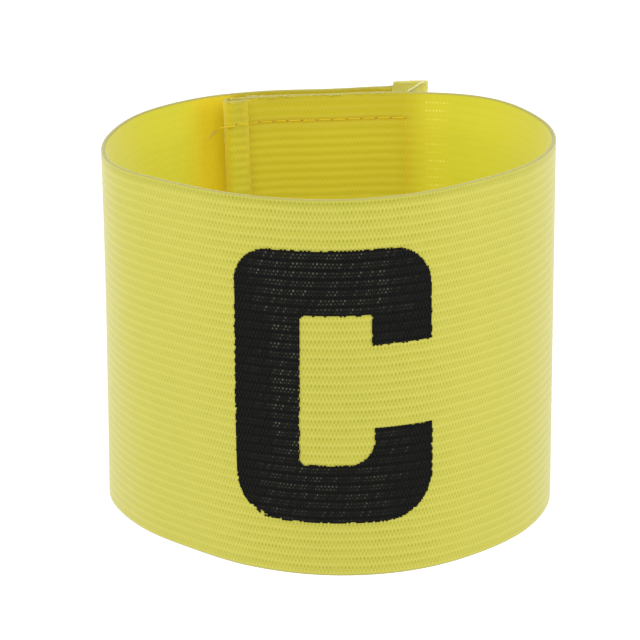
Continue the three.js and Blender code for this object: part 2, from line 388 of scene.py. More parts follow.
cut_angle, cut_fold, cut_side, cut_rise, cut_run = (np.array(column)[:, None] for column in zip(*cuts))
print(f"{len(cuts)} cuts along the strip")


# %% Sweep the band
SEAM_ROW_REACH, SEAM_END_REACH = 0.5, 0.9
SEAM_END_SHARE = 0.3


def beside_seam(angle, height):
    """1 on the seam round the first end's patch, and less beside it."""
    along = run_at(angle) - run_at(BACK)
    beside_rows = np.minimum(np.abs(height - SEAM_INSET), np.abs(height - (STRIP_WIDTH - SEAM_INSET)))
    inside = (along > PATCH_SEAM_END - 0.5) & (along < PATCH_SEAM_START + 0.5)
    rows = np.exp(-((beside_rows / SEAM_ROW_REACH) ** 2)) * inside
    between_rows = (height > SEAM_INSET) & (height < STRIP_WIDTH - SEAM_INSET)
    ends = np.exp(-(((along - PATCH_SEAM_END) / SEAM_END_REACH) ** 2)) * between_rows
    return np.maximum(rows, ends * SEAM_END_SHARE)


# The depth of a point is measured from the back of the strip to its face, and the relief of both
# faces is added to it. At a hem the cut has turned over by an angle, so part of its depth points
# along the strip and part of it outward.
level = cut_height[None, :] / STRIP_WIDTH
on_run = cut_fold < 1
turned_in = (cut_fold > 0) & (cut_side > 0)
face_strength = np.where(turned_in, FLAP_RELIEF / FACE_RELIEF, 1)
depth = cut_depth[None, :] + on_face * face_relief(cut_height) * face_strength
depth = depth + on_back * rim_taper(cut_angle, cut_height)
depth = depth - on_back * np.where(on_run, back_relief(cut_angle, cut_height), 0)
depth = depth + on_back * np.where(on_run, SEAM_DIP * beside_seam(cut_angle, cut_height), 0)
reach = FOLD_SLIT / 2 + depth
turned = np.radians(cut_fold)
outward = lift_at(cut_angle) - WALL - FOLD_SLIT / 2 + reach * np.cos(turned)
forward = cut_side * reach * np.sin(turned)
at_raw_edge = (cut_fold == 180) & (cut_side < 0) & (cut_angle > OUTER_HEM_EDGE - 1)
raw_lean = -OUTER_RAW_LEAN * smoothstep(level, 0.90, 1.0) * at_raw_edge
plan_points = beside_outline(cut_angle + lean_at(cut_angle, level) + raw_lean, level, outward, forward)
heights = cut_height[None, :] + cut_rise
band_points = np.concatenate([plan_points, heights[..., None]], -1)
print("the band spans", np.ptp(band_points, axis=(0, 1)).round(1), "mm")

# %% Join the cuts with faces
# Each face joins two points of a cut to the same two of the next cut. The two ends are closed by a
# row of faces that join the cut's face to its back.
cut_count, girth_count = band_points.shape[:2]
i, j = np.meshgrid(np.arange(cut_count - 1), np.arange(girth_count), indexing="ij")
after = (j + 1) % girth_count
this_cut, next_cut = i * girth_count, (i + 1) * girth_count
side_faces = np.stack([this_cut + j, this_cut + after, next_cut + after, next_cut + j], -1)
cap_ring = np.roll(np.arange(girth_count), RIM_POINTS // 2)
cap_left = cap_ring[: girth_count // 2]
cap_right = cap_ring[::-1][: girth_count // 2]
cap = np.stack([cap_left[:-1], cap_right[:-1], cap_right[1:], cap_left[1:]], -1)
last = (cut_count - 1) * girth_count
band_faces = np.concatenate([side_faces.reshape(-1, 4), cap, cap[:, ::-1] + last])
band = make_piece("knitted_band", band_points, band_faces)

# %% [markdown]
# ## What the cloth carries
# The material has to know more about a point than its place. It asks whether the point looks inward,
# whether a seam or a second layer draws the knit together there, whether it lies in golden shade, and
# how open its holes are. Painted vertex groups could hold this. But it all follows from the angles of
# the cuts, so it is worked out once and stored on the points under plain names.

# %% Give every corner its place on the strip
band_run = np.broadcast_to(cut_run, heights.shape)
band_height = np.broadcast_to(cut_height[None, :], heights.shape)
knit_places = np.stack([band_run, band_height], -1).reshape(-1, 2) * MM
add_map(band, "knit", knit_places[band_faces])
print(f"the cloth runs from {cut_run.min():.0f} to {cut_run.max():.0f} mm")

# %% Which way the cloth looks
# A folded end lies with its back against the strip, so what is seen there is its outer face. The
# first end still gets most of the golden light of the inner walls, and the second end little of it.
FLAP_SHADE = 0.85
OUTER_FLAP_SHADE = 0.20
back_share = 1 - cut_depth[None, :] / WALL
folded_in = (cut_angle > inner_raw - 1) & (cut_side > 0)
folded_out = (cut_fold >= 90) & (cut_side < 0)
inward = np.where(folded_out, OUTER_FLAP_SHADE, back_share)
inward = np.where(folded_in, np.maximum(FLAP_SHADE, back_share), inward)
add_numbers(band, "inward", inward)
print(f"{(inward > 0.5).mean():.0%} of the points look inward")

# %% Where the knit is drawn together
# The ribs draw together over the patch, in the hem and where the strip lies double. In the turn of
# the hem they count only half as drawn, so that more painted glow lights it.
FLAP_DRAWN = 0.72
DOUBLED_FROM, DOUBLED_TO = 2.5, 6.0
TURN_SHARPNESS = 0.7
TURN_PAINTED_GLOW = 0.5
beside_fold = run_at(cut_angle) - run_at(INNER_END - 360)
doubled = smoothstep(-beside_fold, DOUBLED_FROM, DOUBLED_TO) * (cut_angle < 0)
inner_turn = (cut_side > 0) & (cut_fold < 180)
turning = np.abs(np.sin(np.radians(cut_fold))) ** TURN_SHARPNESS * inner_turn
drawn = np.maximum(np.maximum(patch_share(cut_angle), doubled), FLAP_DRAWN * folded_in)
# In the turn of the hem the drawn share drops, which lets in more painted glow.
drawn = drawn * (1 - TURN_PAINTED_GLOW * turning)
add_numbers(band, "drawn", np.broadcast_to(drawn, heights.shape))
raw_edge = (np.arange(len(cuts)) == 0)[:, None]
add_numbers(band, "raw_edge", np.broadcast_to(raw_edge, heights.shape))
print(f"drawn together from {drawn.min():.2f} to {drawn.max():.2f}")

# %% Where the knit is golden, and where its holes are open
# Yellow light gathers in the turn of the hem, left of the fold and beside the patch. The holes are
# open at the front, where the knit looks stretched, and half closed at the sides.
FOLD_SHADOW, FOLD_SHADOW_FADE = 1.0, 10.0
PATCH_SHADOW, PATCH_SHADOW_FADE = 3.0, 9.0
PATCH_GOLDEN = 0.2
OPEN_HALF, CLOSED_HALF = 14.0, 34.0
CLOSED_SHARE = 0.42
RAISED_LEAST = 0.55
beside_patch = np.abs(run_at(angle_after(BACK, PATCH_SEAM_END)) - run_at(cut_angle) - PATCH_SHADOW)
golden = (1 - smoothstep(beside_fold, FOLD_SHADOW, FOLD_SHADOW_FADE)) * (cut_angle < 0)
beside_patch_share = 1 - smoothstep(beside_patch, PATCH_SHADOW, PATCH_SHADOW_FADE)
golden = golden + PATCH_GOLDEN * beside_patch_share * (cut_angle > 0)
golden = np.maximum(golden, turning)
add_numbers(band, "golden", np.broadcast_to(golden, heights.shape))
sewn = on_back * np.where(on_run, beside_seam(cut_angle, cut_height), 0)
add_numbers(band, "sewn", np.broadcast_to(sewn, heights.shape))
# The raised outer end is marked for a share of painted glow, for daylight coming through it.
raised = folded_out * (RAISED_LEAST + (1 - RAISED_LEAST) * outer_rise(cut_angle))
add_numbers(band, "raised", np.broadcast_to(raised, heights.shape))
open_share = 1 - (1 - CLOSED_SHARE) * smoothstep(np.abs(cut_run), OPEN_HALF, CLOSED_HALF)
add_numbers(band, "open_knit", np.broadcast_to(open_share, heights.shape))
print(f"golden from {golden.min():.2f} to {golden.max():.2f}")

# %% Lay the band's colour map out in four rows
MAP_MARGIN_ALONG = 0.01
MAP_MARGIN_UP = 0.03


def bake_places():
    """The face and the back, each cut in two halves of the strip, fill a square in four rows."""
    along = (cut_run - cut_run.min()) / (cut_run.max() - cut_run.min())
    girth_run = np.clip(cut_height / STRIP_WIDTH, 0, 1)
    corner_run = np.broadcast_to(along, heights.shape).reshape(-1)[band_faces]
    corner_up = np.broadcast_to(girth_run[None, :], heights.shape).reshape(-1)[band_faces]
    corner_back = np.broadcast_to(back_share, heights.shape).reshape(-1)[band_faces]
    half = (corner_run.mean(1) > 0.5).astype(int)
    back = (corner_back.mean(1) > 0.5).astype(int)
    along_row = np.clip(corner_run * 2 - half[:, None], 0, 1)
    up_row = MAP_MARGIN_UP + (1 - 2 * MAP_MARGIN_UP) * corner_up
    u = MAP_MARGIN_ALONG + (1 - 2 * MAP_MARGIN_ALONG) * along_row
    v = (half[:, None] * 2 + back[:, None] + up_row) / 4
    return np.stack([u, v], -1)


add_map(band, "OFBake", bake_places())
print("maps on the band:", [layer.name for layer in band.data.uv_layers])

# %% [markdown]
# ## Writing materials as sums
# A knit is easy to say in sums: a hole is where one wave along the strip and one wave up it are both
# high. The nodes could be placed and joined by hand, but the sum would be lost among them. So a small
# class wraps a socket of a node and lets Python's own signs add Math nodes. Any other kind of node
# comes from one method that sets its settings first and feeds its sockets after.

# %% A socket that can be used in sums
class Wire:
    """The value of one socket. Python's signs turn it into Math nodes."""

    def __init__(self, tree, socket):
        self.tree = tree
        self.socket = socket

    def into(self, socket):
        self.tree.links.new(self.socket, socket)

    def sum_with(self, operation, *terms):
        """A Math node on terms that are other wires or plain numbers."""
        node = self.tree.nodes.new("ShaderNodeMath")
        node.operation = operation
        for place, term in zip(node.inputs, terms):
            if isinstance(term, Wire):
                term.into(place)
            else:
                place.default_value = term
        return Wire(self.tree, node.outputs[0])

    def __add__(self, other):
        return self.sum_with("ADD", self, other)

    def __sub__(self, other):
        return self.sum_with("SUBTRACT", self, other)

    def __rsub__(self, other):
        return self.sum_with("SUBTRACT", other, self)

    def __mul__(self, other):
        return self.sum_with("MULTIPLY", self, other)

    def __truediv__(self, other):
        return self.sum_with("DIVIDE", self, other)

    def __rtruediv__(self, other):
        return self.sum_with("DIVIDE", other, self)

    def __pow__(self, other):
        return self.sum_with("POWER", self, other)

    def __rpow__(self, other):
        return self.sum_with("POWER", other, self)

    __radd__ = __add__
    __rmul__ = __mul__

    def cosine(self):
        return self.sum_with("COSINE", self)

    def rounded(self):
        return self.sum_with("ROUND", self)

    def least(self, other):
        return self.sum_with("MINIMUM", self, other)

    def most(self, other):
        return self.sum_with("MAXIMUM", self, other)

    def over(self, low, high):
        """0 below the low value, 1 above the high one, and a smooth rise between."""
        node = self.tree.nodes.new("ShaderNodeMapRange")
        node.interpolation_type = "SMOOTHSTEP"
        self.into(node.inputs["Value"])
        node.inputs["From Min"].default_value = low
        node.inputs["From Max"].default_value = high
        return Wire(self.tree, node.outputs["Result"])


# %% A finish: one material and the method that adds its nodes
class Finish:
    """A new material, and the ways to add nodes to it."""

    def __init__(self, name):
        self.material = bpy.data.materials.new(name)
        self.material.use_nodes = True
        self.tree = self.material.node_tree
        self.tree.nodes.clear()

    def node(self, kind, settings=None, output=0, **sockets):
        """Any kind of node: first its settings, then the values or wires of its sockets."""
        made = self.tree.nodes.new(kind)
        for key, value in (settings or {}).items():
            setattr(made, key, value)
        for key, value in sockets.items():
            self.feed(made.inputs[key.replace("_", " ")], value)
        return Wire(self.tree, made.outputs[output])

    def feed(self, socket, value):
        if isinstance(value, Wire):
            value.into(socket)
        else:
            socket.default_value = value

    def mix(self, share, first, second):
        """A colour between two others."""
        made = self.tree.nodes.new("ShaderNodeMix")
        made.data_type = "RGBA"
        self.feed(made.inputs["Factor"], share)
        self.feed(made.inputs[6], first)
        self.feed(made.inputs[7], second)
        return Wire(self.tree, made.outputs[2])

    def place_on_strip(self):
        """How far along the strip and how high up it a point is, in metres."""
        place = self.node("ShaderNodeUVMap", {"uv_map": "knit"})
        along = self.node("ShaderNodeSeparateXYZ", output=0, Vector=place)
        up = self.node("ShaderNodeSeparateXYZ", output=1, Vector=place)
        return along, up

    def number(self, name):
        """A number that was stored on the points of the mesh."""
        return self.node("ShaderNodeAttribute", {"attribute_name": name}, output=2)

    def noise(self, along, up, along_size, up_size, detail=2.0):
        """Soft noise on the strip, with patches of the two sizes, in metres."""
        joined = self.node("ShaderNodeCombineXYZ", X=along / along_size, Y=up / up_size)
        settings = {"noise_dimensions": "2D"}
        return self.node("ShaderNodeTexNoise", settings, Vector=joined, Scale=1.0, Detail=detail)

    def surface(self, sheen=0.0, sheen_tint=(1, 1, 1, 1), specular=0.5, **sockets):
        """The shader. What is the same all over the surface is set on its own sockets."""
        shader = self.tree.nodes.new("ShaderNodeBsdfPrincipled")
        for key, value in sockets.items():
            self.feed(shader.inputs[key.replace("_", " ")], value)
        shader.inputs["Sheen Weight"].default_value = sheen
        shader.inputs["Sheen Roughness"].default_value = 0.4
        shader.inputs["Sheen Tint"].default_value = sheen_tint
        shader.inputs["Specular IOR Level"].default_value = specular
        out = self.tree.nodes.new("ShaderNodeOutputMaterial")
        self.tree.links.new(shader.outputs[0], out.inputs[0])
        print(f"{self.material.name}: {len(self.tree.nodes)} nodes")
        return self.material


# %% [markdown]
# ## The yellow knit
# In every furrow there is a row of holes, one to a stitch, and on the crest of every rib a weaker
# row, half a stitch further on. Between them the yarn stands out as short light bars. Each of these
# is one wave along the strip times one wave up it, with its own place in the rib. The holes are
# darker and more golden than the yarn, because light that comes out of them has met yellow yarn
# several times. The inside of the ring gets most of its light from its own yellow walls, so its yarn
# is more golden, and its ribs are only soft bands. A picture of knit repeated over the band would be
# the usual way. Waves need no picture, stay sharp from close by and can open or close the holes from
# place to place.

# %% Colours of the yarn
def from_screen(red, green, blue):
    """A colour as a screen shows it, from 0 to 255, as light."""
    parts = [part / 255 for part in (red, green, blue)]
    light = [part / 12.92 if part <= 0.04045 else ((part + 0.055) / 1.055) ** 2.4 for part in parts]
    return (*light, 1.0)


YARN = from_screen(174, 169, 64)
YARN_HIGH = from_screen(188, 182, 80)
YARN_HOLE = from_screen(137, 136, 4)
YARN_BACK = from_screen(186, 177, 48)
YARN_DRAWN = from_screen(202, 187, 43)
# The next colour is painted shade in the hollows and holes of the inside.
BACK_HOLE_SHADE = from_screen(182, 169, 10)
THROUGH_KNIT = (0.105, 0.12, 0.0, 1)
THROUGH_FOLD = (0.26, 0.168, 0.0, 1)
THROUGH_END = (0.16, 0.145, 0.06, 1)
# The next colour is painted shade on the drawn yarn near the upper rim.
YARN_UPPER_SHADE = from_screen(190, 175, 39)
YARN_SHADED = from_screen(188, 166, 8)
SEWN = from_screen(178, 146, 14)
# The next colour is painted shade along the raw edge of the inner hem.
RAW_EDGE_SHADE = from_screen(199, 180, 14)
# The next two colours are painted highlight on the rims' outer edge and painted shade on their inner edge.
RIM_HIGHLIGHT = from_screen(155, 151, 74)
RIM_SHADE = from_screen(152, 145, 84)
PINHOLE = from_screen(218, 213, 120)
print("the yarn sends back", [round(part, 3) for part in YARN[:3]], "of red, green and blue light")

# %% Waves of the knit
# Each place is a part of one rib, from 0 in the furrow through 0.5 on the crest to 1 in the next one.
STRONG_HOLES = 0.00
WEAK_HOLES = 0.56
STRONG_BARS = 0.42
WEAK_BARS = 0.20
LIGHT_BAND = 0.34
INNER_HOLLOW = 0.30
PINHOLE_PLACE = 0.28
STITCH_WANDER, RIB_WANDER = 0.30, 0.16
print(f"the weaker holes lie {WEAK_HOLES * RIB_PITCH:.2f} mm above the stronger ones")


def wave(turns, sharpness):
    """1 where the count of turns is whole and 0 half a turn further on."""
    return ((turns * TURN).cosine() * 0.5 + 0.5) ** sharpness


def knit_counts(finish, along, up):
    """How many stitches along and how many ribs up a point is, with the yarn's small wander."""
    wander = finish.noise(along, up, 7 * MM, 2.5 * MM) - 0.5
    stitch = along / (STITCH_PITCH * MM) + wander * STITCH_WANDER
    rib = up / (RIB_PITCH * MM) + wander * RIB_WANDER
    return stitch, rib


def spots(stitch, rib, shift, place, wide=2.0, tall=3.0):
    """A row of spots to each rib: shifted by part of a stitch, and placed at a part of the rib."""
    return wave(stitch - shift, wide) * wave(rib - place, tall)


# %% The outer face of the knit
WEAK_HOLE_SHARE, WEAK_HOLE_LOSS = 0.70, 0.13
WEAK_BAR_SHARE = 0.80
HOLE_STRENGTH, BAR_STRENGTH, BAND_STRENGTH = 0.76, 0.78, 0.10
HOLE_RELIEF, BAR_RELIEF = 0.05, 0.03


def outer_knit(finish, stitch, rib, uneven, opened):
    """The colour of the face, and its fine relief."""
    strong_holes = spots(stitch, rib, 0, STRONG_HOLES) * opened
    weak_holes = spots(stitch, rib, 0.5, WEAK_HOLES) * (WEAK_HOLE_SHARE - opened * WEAK_HOLE_LOSS)
    holes = strong_holes + weak_holes
    bars = spots(stitch, rib, 0, STRONG_BARS) * opened
    bars = bars + spots(stitch, rib, 0.5, WEAK_BARS) * WEAK_BAR_SHARE
    light_band = wave(rib - LIGHT_BAND, 2.0) * opened
    raised_yarn = (bars * BAR_STRENGTH + light_band * BAND_STRENGTH).least(1.0)
    colour = finish.mix(raised_yarn, YARN, YARN_HIGH)
    colour = finish.mix((holes * uneven * HOLE_STRENGTH).least(1.0), colour, YARN_HOLE)
    return colour, bars * BAR_RELIEF - holes * HOLE_RELIEF


# %% The inner face of the knit
ROW_BELOW, ROW_ABOVE = 0.12, 0.14
HOLLOW_PLAIN, HOLLOW_DRAWN = 0.26, 0.22
ROWS_PLAIN, ROWS_DRAWN = 0.05, 0.31
UPPER_FROM, UPPER_TO = 65, 70
PINHOLES_START, PINHOLES_END = -19.0, -26.0


def inner_knit(finish, up, stitch, rib, uneven, drawn):
    """The colour of the back, whose ribs show as painted shade, most where it is drawn together."""
    # The hollows between the ribs and the rows of holes beside them are darkened as painted shade.
    hollow = wave(rib - INNER_HOLLOW, 1.2)
    lower_row = spots(stitch, rib, 0, INNER_HOLLOW - ROW_BELOW, tall=5.0)
    upper_row = spots(stitch, rib, 0.5, INNER_HOLLOW + ROW_ABOVE, tall=5.0)
    hollows = hollow * (drawn * HOLLOW_DRAWN + HOLLOW_PLAIN)
    rows = (lower_row + upper_row) * uneven * (drawn * ROWS_DRAWN + ROWS_PLAIN)
    # Above 65 mm the drawn yarn is painted darker: painted shade near the upper rim.
    stitched = finish.mix(up.over(UPPER_FROM * MM, UPPER_TO * MM), YARN_DRAWN, YARN_UPPER_SHADE)
    yarn = finish.mix(drawn, YARN_BACK, stitched)
    return finish.mix((hollows + rows).least(1.0), yarn, BACK_HOLE_SHADE)


def pinholes(finish, along, up, stitch, rib):
    """Light that comes through the stretched knit to the right of the patch, in a few small holes."""
    start = run_at(angle_after(BACK, PINHOLES_START))
    end = run_at(angle_after(BACK, PINHOLES_END))
    there = along.over(end * MM, (end + 4) * MM) * (1 - along.over((start - 1.0) * MM, start * MM))
    stitch_cell = finish.node("ShaderNodeCombineXYZ", X=stitch.rounded(), Y=rib.rounded())
    settings = {"noise_dimensions": "2D"}
    chance = finish.node("ShaderNodeTexWhiteNoise", settings, Vector=stitch_cell)
    rows = finish.noise(along, up, 40 * MM, 1.5 * MM, 1.0).over(0.25, 0.65)
    return spots(stitch, rib, 0, 0.0, wide=1.2, tall=9.0) * (chance * 0.6 + 0.4) * rows * there


# %% Rims, and light that comes through
FURROW_SHADE_STRENGTH = 0.25
RIM_STRENGTH, RIM_LOSS_DRAWN = 0.80, 0.25


def with_rims(finish, colour, up, inward, drawn):
    """Pale selvedges at both rims, partly painted highlight and shade, and painted shade below the upper
    rim.
    """
    below = STRIP_WIDTH * MM - up
    # A band below the upper rim is painted darker, as painted shade of a furrow.
    furrow = below.over(0.2 * MM, 0.6 * MM) * (1 - below.over(0.9 * MM, 1.6 * MM))
    colour = finish.mix(furrow * (1 - inward) * FURROW_SHADE_STRENGTH, colour, YARN_HOLE)
    # Over the selvedge's colour, the rims get painted highlight outside and painted shade inside.
    rim = 1 - up.least(below).over(0.12 * MM, 0.42 * MM)
    rim_highlight_and_shade = finish.mix(inward.over(0.1, 0.5), RIM_HIGHLIGHT, RIM_SHADE)
    return finish.mix(rim * (RIM_STRENGTH - drawn * RIM_LOSS_DRAWN), colour, rim_highlight_and_shade)


def light_through(finish, inward, drawn, golden):
    """A faint painted glow where daylight comes through a single layer of the knit, and on the raised outer
    end.
    """
    single = inward.over(0.3, 1.0) * (1 - drawn)
    through = finish.mix(single, (0, 0, 0, 1), finish.mix(golden, THROUGH_KNIT, THROUGH_FOLD))
    return finish.mix(finish.number("raised"), through, THROUGH_END)


# %% The knit's finish
GOLDEN_STRENGTH, SEWN_STRENGTH = 0.6, 0.6


def knit_finish():
    finish = Finish("yellow_knit")
    along, up = finish.place_on_strip()
    stitch, rib = knit_counts(finish, along, up)
    uneven = finish.noise(along, up, 4 * MM, 2.0 * MM, 3.0) * 1.6 + 0.2
    fibres = finish.noise(along, up, 0.40 * MM, 0.14 * MM, 3.0)
    inward = finish.number("inward")
    drawn = finish.number("drawn")
    golden = finish.number("golden")
    outer, relief = outer_knit(finish, stitch, rib, uneven, finish.number("open_knit"))
    inner = inner_knit(finish, up, stitch, rib, uneven, drawn)
    inner = finish.mix(golden * GOLDEN_STRENGTH, inner, YARN_SHADED)
    inner = finish.mix(finish.number("sewn") * SEWN_STRENGTH, inner, SEWN)
    lit_holes = pinholes(finish, along, up, stitch, rib - PINHOLE_PLACE)
    inner = finish.mix(lit_holes, inner, PINHOLE)
    colour = finish.mix(inward, outer, inner)
    colour = finish.mix(((fibres - 0.5) * 1.2).most(0.0), colour, YARN_HIGH)
    # The raw edge of the inner hem is painted darker golden: painted shade along the cut.
    colour = finish.mix(finish.number("raw_edge").over(0.3, 1.0), colour, RAW_EDGE_SHADE)
    colour = with_rims(finish, colour, up, inward, drawn)
    bump = finish.node("ShaderNodeBump", Height=relief + fibres * 0.03, Distance=MM, Strength=0.8)
    return finish.surface(
        Base_Color=colour,
        Roughness=0.7,
        Normal=bump,
        Emission_Color=light_through(finish, inward, drawn, golden),
        Emission_Strength=1.0,
        sheen=0.50,
        sheen_tint=(1, 1, 0.95, 1),
        specular=0.22,
    )


band.data.materials.append(knit_finish())

# %% [markdown]
# ## The printed letter
# The print is ink that was pressed onto the stretched knit and soaked in. It follows the ribs, its
# edge is saw-toothed because the ink stops at whole stitches, and in the deepest holes the yellow
# still shows. The print could be a second colour in the band's material, but the real ink lies on
# the yarn and has an edge of its own. So it is a thin sheet of small cells that follows the ribs, and
# the cells outside the outline are left out. They are a quarter of a stitch wide, so the edge steps
# from stitch to stitch. The specks in the holes come from the ink's material further on.

# %% The outline of the block letter
LETTER = dict(left=-18.15, right=19.3, bottom=11.15, top=65.3)
STEM, TOP_BAR, BOTTOM_BAR = 12.4, 12.5, 11.7
UPPER_HOOK, LOWER_HOOK = 6.0, 7.4
UPPER_TERMINAL, LOWER_TERMINAL = 11.8, 11.2
WIDENING = 0.027
WIDENING_FROM, WIDENING_TO = 62.0, 24.0
BLOCK_ROUNDS = (7.0, 8.0, 8.7, 9.2)
UPPER_HOLLOW_ROUNDS = (1.0, 0.3, 0, 0)
LOWER_HOLLOW_ROUNDS = (0, 0, 1.2, 5.0)


def box_distance(x, y, left, right, bottom, top, rounds=(0.0, 0.0, 0.0, 0.0)):
    """Distance outside a box with round corners: upper left, upper right, lower left, lower right."""
    middle_x, middle_y = (left + right) / 2, (bottom + top) / 2
    from_x, from_y = x - middle_x, y - middle_y
    upper_left, upper_right, lower_left, lower_right = rounds
    upper = np.where(from_x < 0, upper_left, upper_right)
    lower = np.where(from_x < 0, lower_left, lower_right)
    round_off = np.where(from_y > 0, upper, lower)
    out_x = np.abs(from_x) - (right - left) / 2 + round_off
    out_y = np.abs(from_y) - (top - bottom) / 2 + round_off
    outside = np.hypot(np.maximum(out_x, 0), np.maximum(out_y, 0))
    return outside + np.minimum(np.maximum(out_x, out_y), 0) - round_off


def letter_distance(x, y):
    """Below 0 inside the letter: the whole block less its counter and the gap between terminals."""
    x = x / (1 + WIDENING * (1 - smoothstep(y, WIDENING_TO, WIDENING_FROM)))
    block = box_distance(x, y, **LETTER, rounds=BLOCK_ROUNDS)
    counter_left = LETTER["left"] + STEM
    upper_left = LETTER["right"] - UPPER_TERMINAL
    lower_left = LETTER["right"] - LOWER_TERMINAL
    counter_top = LETTER["top"] - TOP_BAR
    counter_bottom = LETTER["bottom"] + BOTTOM_BAR
    beyond = LETTER["right"] + 20
    gap_bottom, gap_top = counter_bottom + LOWER_HOOK, counter_top - UPPER_HOOK
    gap = box_distance(x, y, counter_left + STEM / 2, beyond, gap_bottom, gap_top)
    middle = (counter_top + counter_bottom) / 2
    upper = box_distance(x, y, counter_left, upper_left, middle - 1, counter_top, UPPER_HOLLOW_ROUNDS)
    lower = box_distance(x, y, counter_left, lower_left, counter_bottom, middle + 1, LOWER_HOLLOW_ROUNDS)
    hollow = np.minimum(np.minimum(upper, lower), gap)
    return np.maximum(block, -hollow)


letter_size = (LETTER["right"] - LETTER["left"], LETTER["top"] - LETTER["bottom"])
print(f"the letter is {letter_size[0]:.1f} mm wide and {letter_size[1]:.1f} mm high")

# %% Where the ink is thin
THIN_INK = [
    dict(place="top bar", x=-1.5, y=59.2, wide=14.5, high=6.8, share=0.80),
    dict(place="stem, right half", x=-8.0, y=38.0, wide=3.4, high=20.0, share=0.75),
    dict(place="bottom bar", x=-1.0, y=17.2, wide=14.0, high=6.2, share=0.50),
    dict(place="lower terminal", x=11.5, y=24.5, wide=4.0, high=6.0, share=0.35),
    dict(place="upper terminal", x=11.0, y=58.0, wide=5.0, high=6.0, share=0.30),
    dict(place="everywhere", x=0.8, y=38.0, wide=19.0, high=28.0, share=0.16),
]
CELL_WIDE = STITCH_PITCH / 4
CELL_HIGH = RIB_PITCH / 8
RAGGED_CELLS = 4
INK_LIFT = 0.03
INK_THICKNESS = 0.08
dice = np.random.default_rng(7)
print(f"each cell of ink is {CELL_WIDE:.2f} by {CELL_HIGH:.2f} mm")


def thin_share(x, y):
    """How much of the yarn still shows at the holes."""
    share = np.zeros(np.broadcast(x, y).shape)
    for spot in THIN_INK:
        across = np.abs(x - spot["x"]) / spot["wide"]
        high = np.abs(y - spot["y"]) / spot["high"]
        inside = 1 - smoothstep(np.maximum(across, high), 0.75, 1.05)
        share = np.maximum(share, spot["share"] * inside)
    return share


# %% Choose the cells that carry ink
EDGE_STEP, EDGE_STEP_MEAN = 0.13, 0.4
EDGE_RAGGED, WORN_RAGGED = 0.16, 0.9
WORN_CORNER = dict(x=-12.5, y=12.3, wide=4.0, high=2.0)
first_column = math.floor((LETTER["left"] - 2) / CELL_WIDE)
last_column = math.ceil((LETTER["right"] + 2) / CELL_WIDE)
first_level = math.floor((LETTER["bottom"] - 1) / CELL_HIGH)
last_level = math.ceil((LETTER["top"] + 1) / CELL_HIGH)
columns = np.arange(first_column, last_column)
levels = np.arange(first_level, last_level)
cell_column, cell_level = np.meshgrid(columns, levels, indexing="ij")
cell_x = (cell_column + 0.5) * CELL_WIDE
cell_y = (cell_level + 0.5) * CELL_HIGH
stitch_wave = np.cos(TURN * cell_x / STITCH_PITCH)
rib_wave = np.cos(TURN * cell_y / RIB_PITCH)
furrow_hole = np.maximum(stitch_wave * rib_wave, 0)
crest_hole = np.maximum(-stitch_wave, 0) * np.maximum(-rib_wave, 0)
ragged = dice.random((len(columns) // RAGGED_CELLS + 2, len(levels) // RAGGED_CELLS + 2))
ragged = np.repeat(np.repeat(ragged, RAGGED_CELLS, 0), RAGGED_CELLS, 1)
ragged = ragged[: len(columns), : len(levels)] - 0.5
worn_across = ((cell_x - WORN_CORNER["x"]) / WORN_CORNER["wide"]) ** 2
worn_up = ((cell_y - WORN_CORNER["y"]) / WORN_CORNER["high"]) ** 2
worn_corner = np.exp(-worn_across - worn_up)
edge_shift = EDGE_STEP * (furrow_hole + crest_hole - EDGE_STEP_MEAN)
edge_shift = edge_shift + (EDGE_RAGGED + WORN_RAGGED * worn_corner) * ragged
inked = letter_distance(cell_x, cell_y) + edge_shift < 0
print(f"{inked.sum()} inked cells of {inked.size}")


# %% Build the sheet of cells
def front_point(x, y, outward):
    """A point that stands so far off the knit's outer face, in the letter's own flat measures."""
    level = y / STRIP_WIDTH
    plan = beside_outline(angle_at(x), level, face_relief(y) + outward)
    return np.concatenate([plan, y[..., None]], -1)


lines_across = np.append(columns, columns[-1] + 1) * CELL_WIDE
lines_up = np.append(levels, levels[-1] + 1) * CELL_HIGH
corner_x, corner_y = np.meshgrid(lines_across, lines_up, indexing="ij")
ink_outer = front_point(corner_x, corner_y, INK_LIFT + INK_THICKNESS).reshape(-1, 3)
ink_inner = front_point(corner_x, corner_y, INK_LIFT).reshape(-1, 3)
print(f"the sheet's grid is {len(lines_across)} by {len(lines_up)} corners")


# %% Faces for the inked cells, and walls where a cell has a bare neighbour
def corner_index(across, up):
    """The number of a corner of the grid, counted along its rows."""
    return across * len(lines_up) + up


NEIGHBOURS = [
    dict(step=(0, -1), corners=(0, 1)),
    dict(step=(1, 0), corners=(1, 2)),
    dict(step=(0, 1), corners=(2, 3)),
    dict(step=(-1, 0), corners=(3, 0)),
]
across, up = np.nonzero(inked)
quads = np.stack(
    [
        corner_index(across, up),
        corner_index(across + 1, up),
        corner_index(across + 1, up + 1),
        corner_index(across, up + 1),
    ],
    -1,
)
under = len(ink_outer)
padded = np.pad(inked, 1)
walls = []
for neighbour in NEIGHBOURS:
    step_across, step_up = neighbour["step"]
    bare = ~padded[across + 1 + step_across, up + 1 + step_up]
    a, b = (quads[bare, corner] for corner in neighbour["corners"])
    walls.append(np.stack([a + under, b + under, b, a], -1))
letter_faces = np.concatenate([quads, quads[:, ::-1] + under, *walls])
letter_points = np.concatenate([ink_outer, ink_inner])
used, letter_faces = np.unique(letter_faces, return_inverse=True)
letter_faces = letter_faces.reshape(-1, 4)
letter = make_piece("letter_print", letter_points[used], letter_faces)
flat_places = np.tile(np.stack([corner_x, corner_y], -1).reshape(-1, 2), (2, 1)) * MM
add_map(letter, "knit", flat_places[used][letter_faces])
thin_corners = np.tile(thin_share(corner_x, corner_y).ravel(), 2)
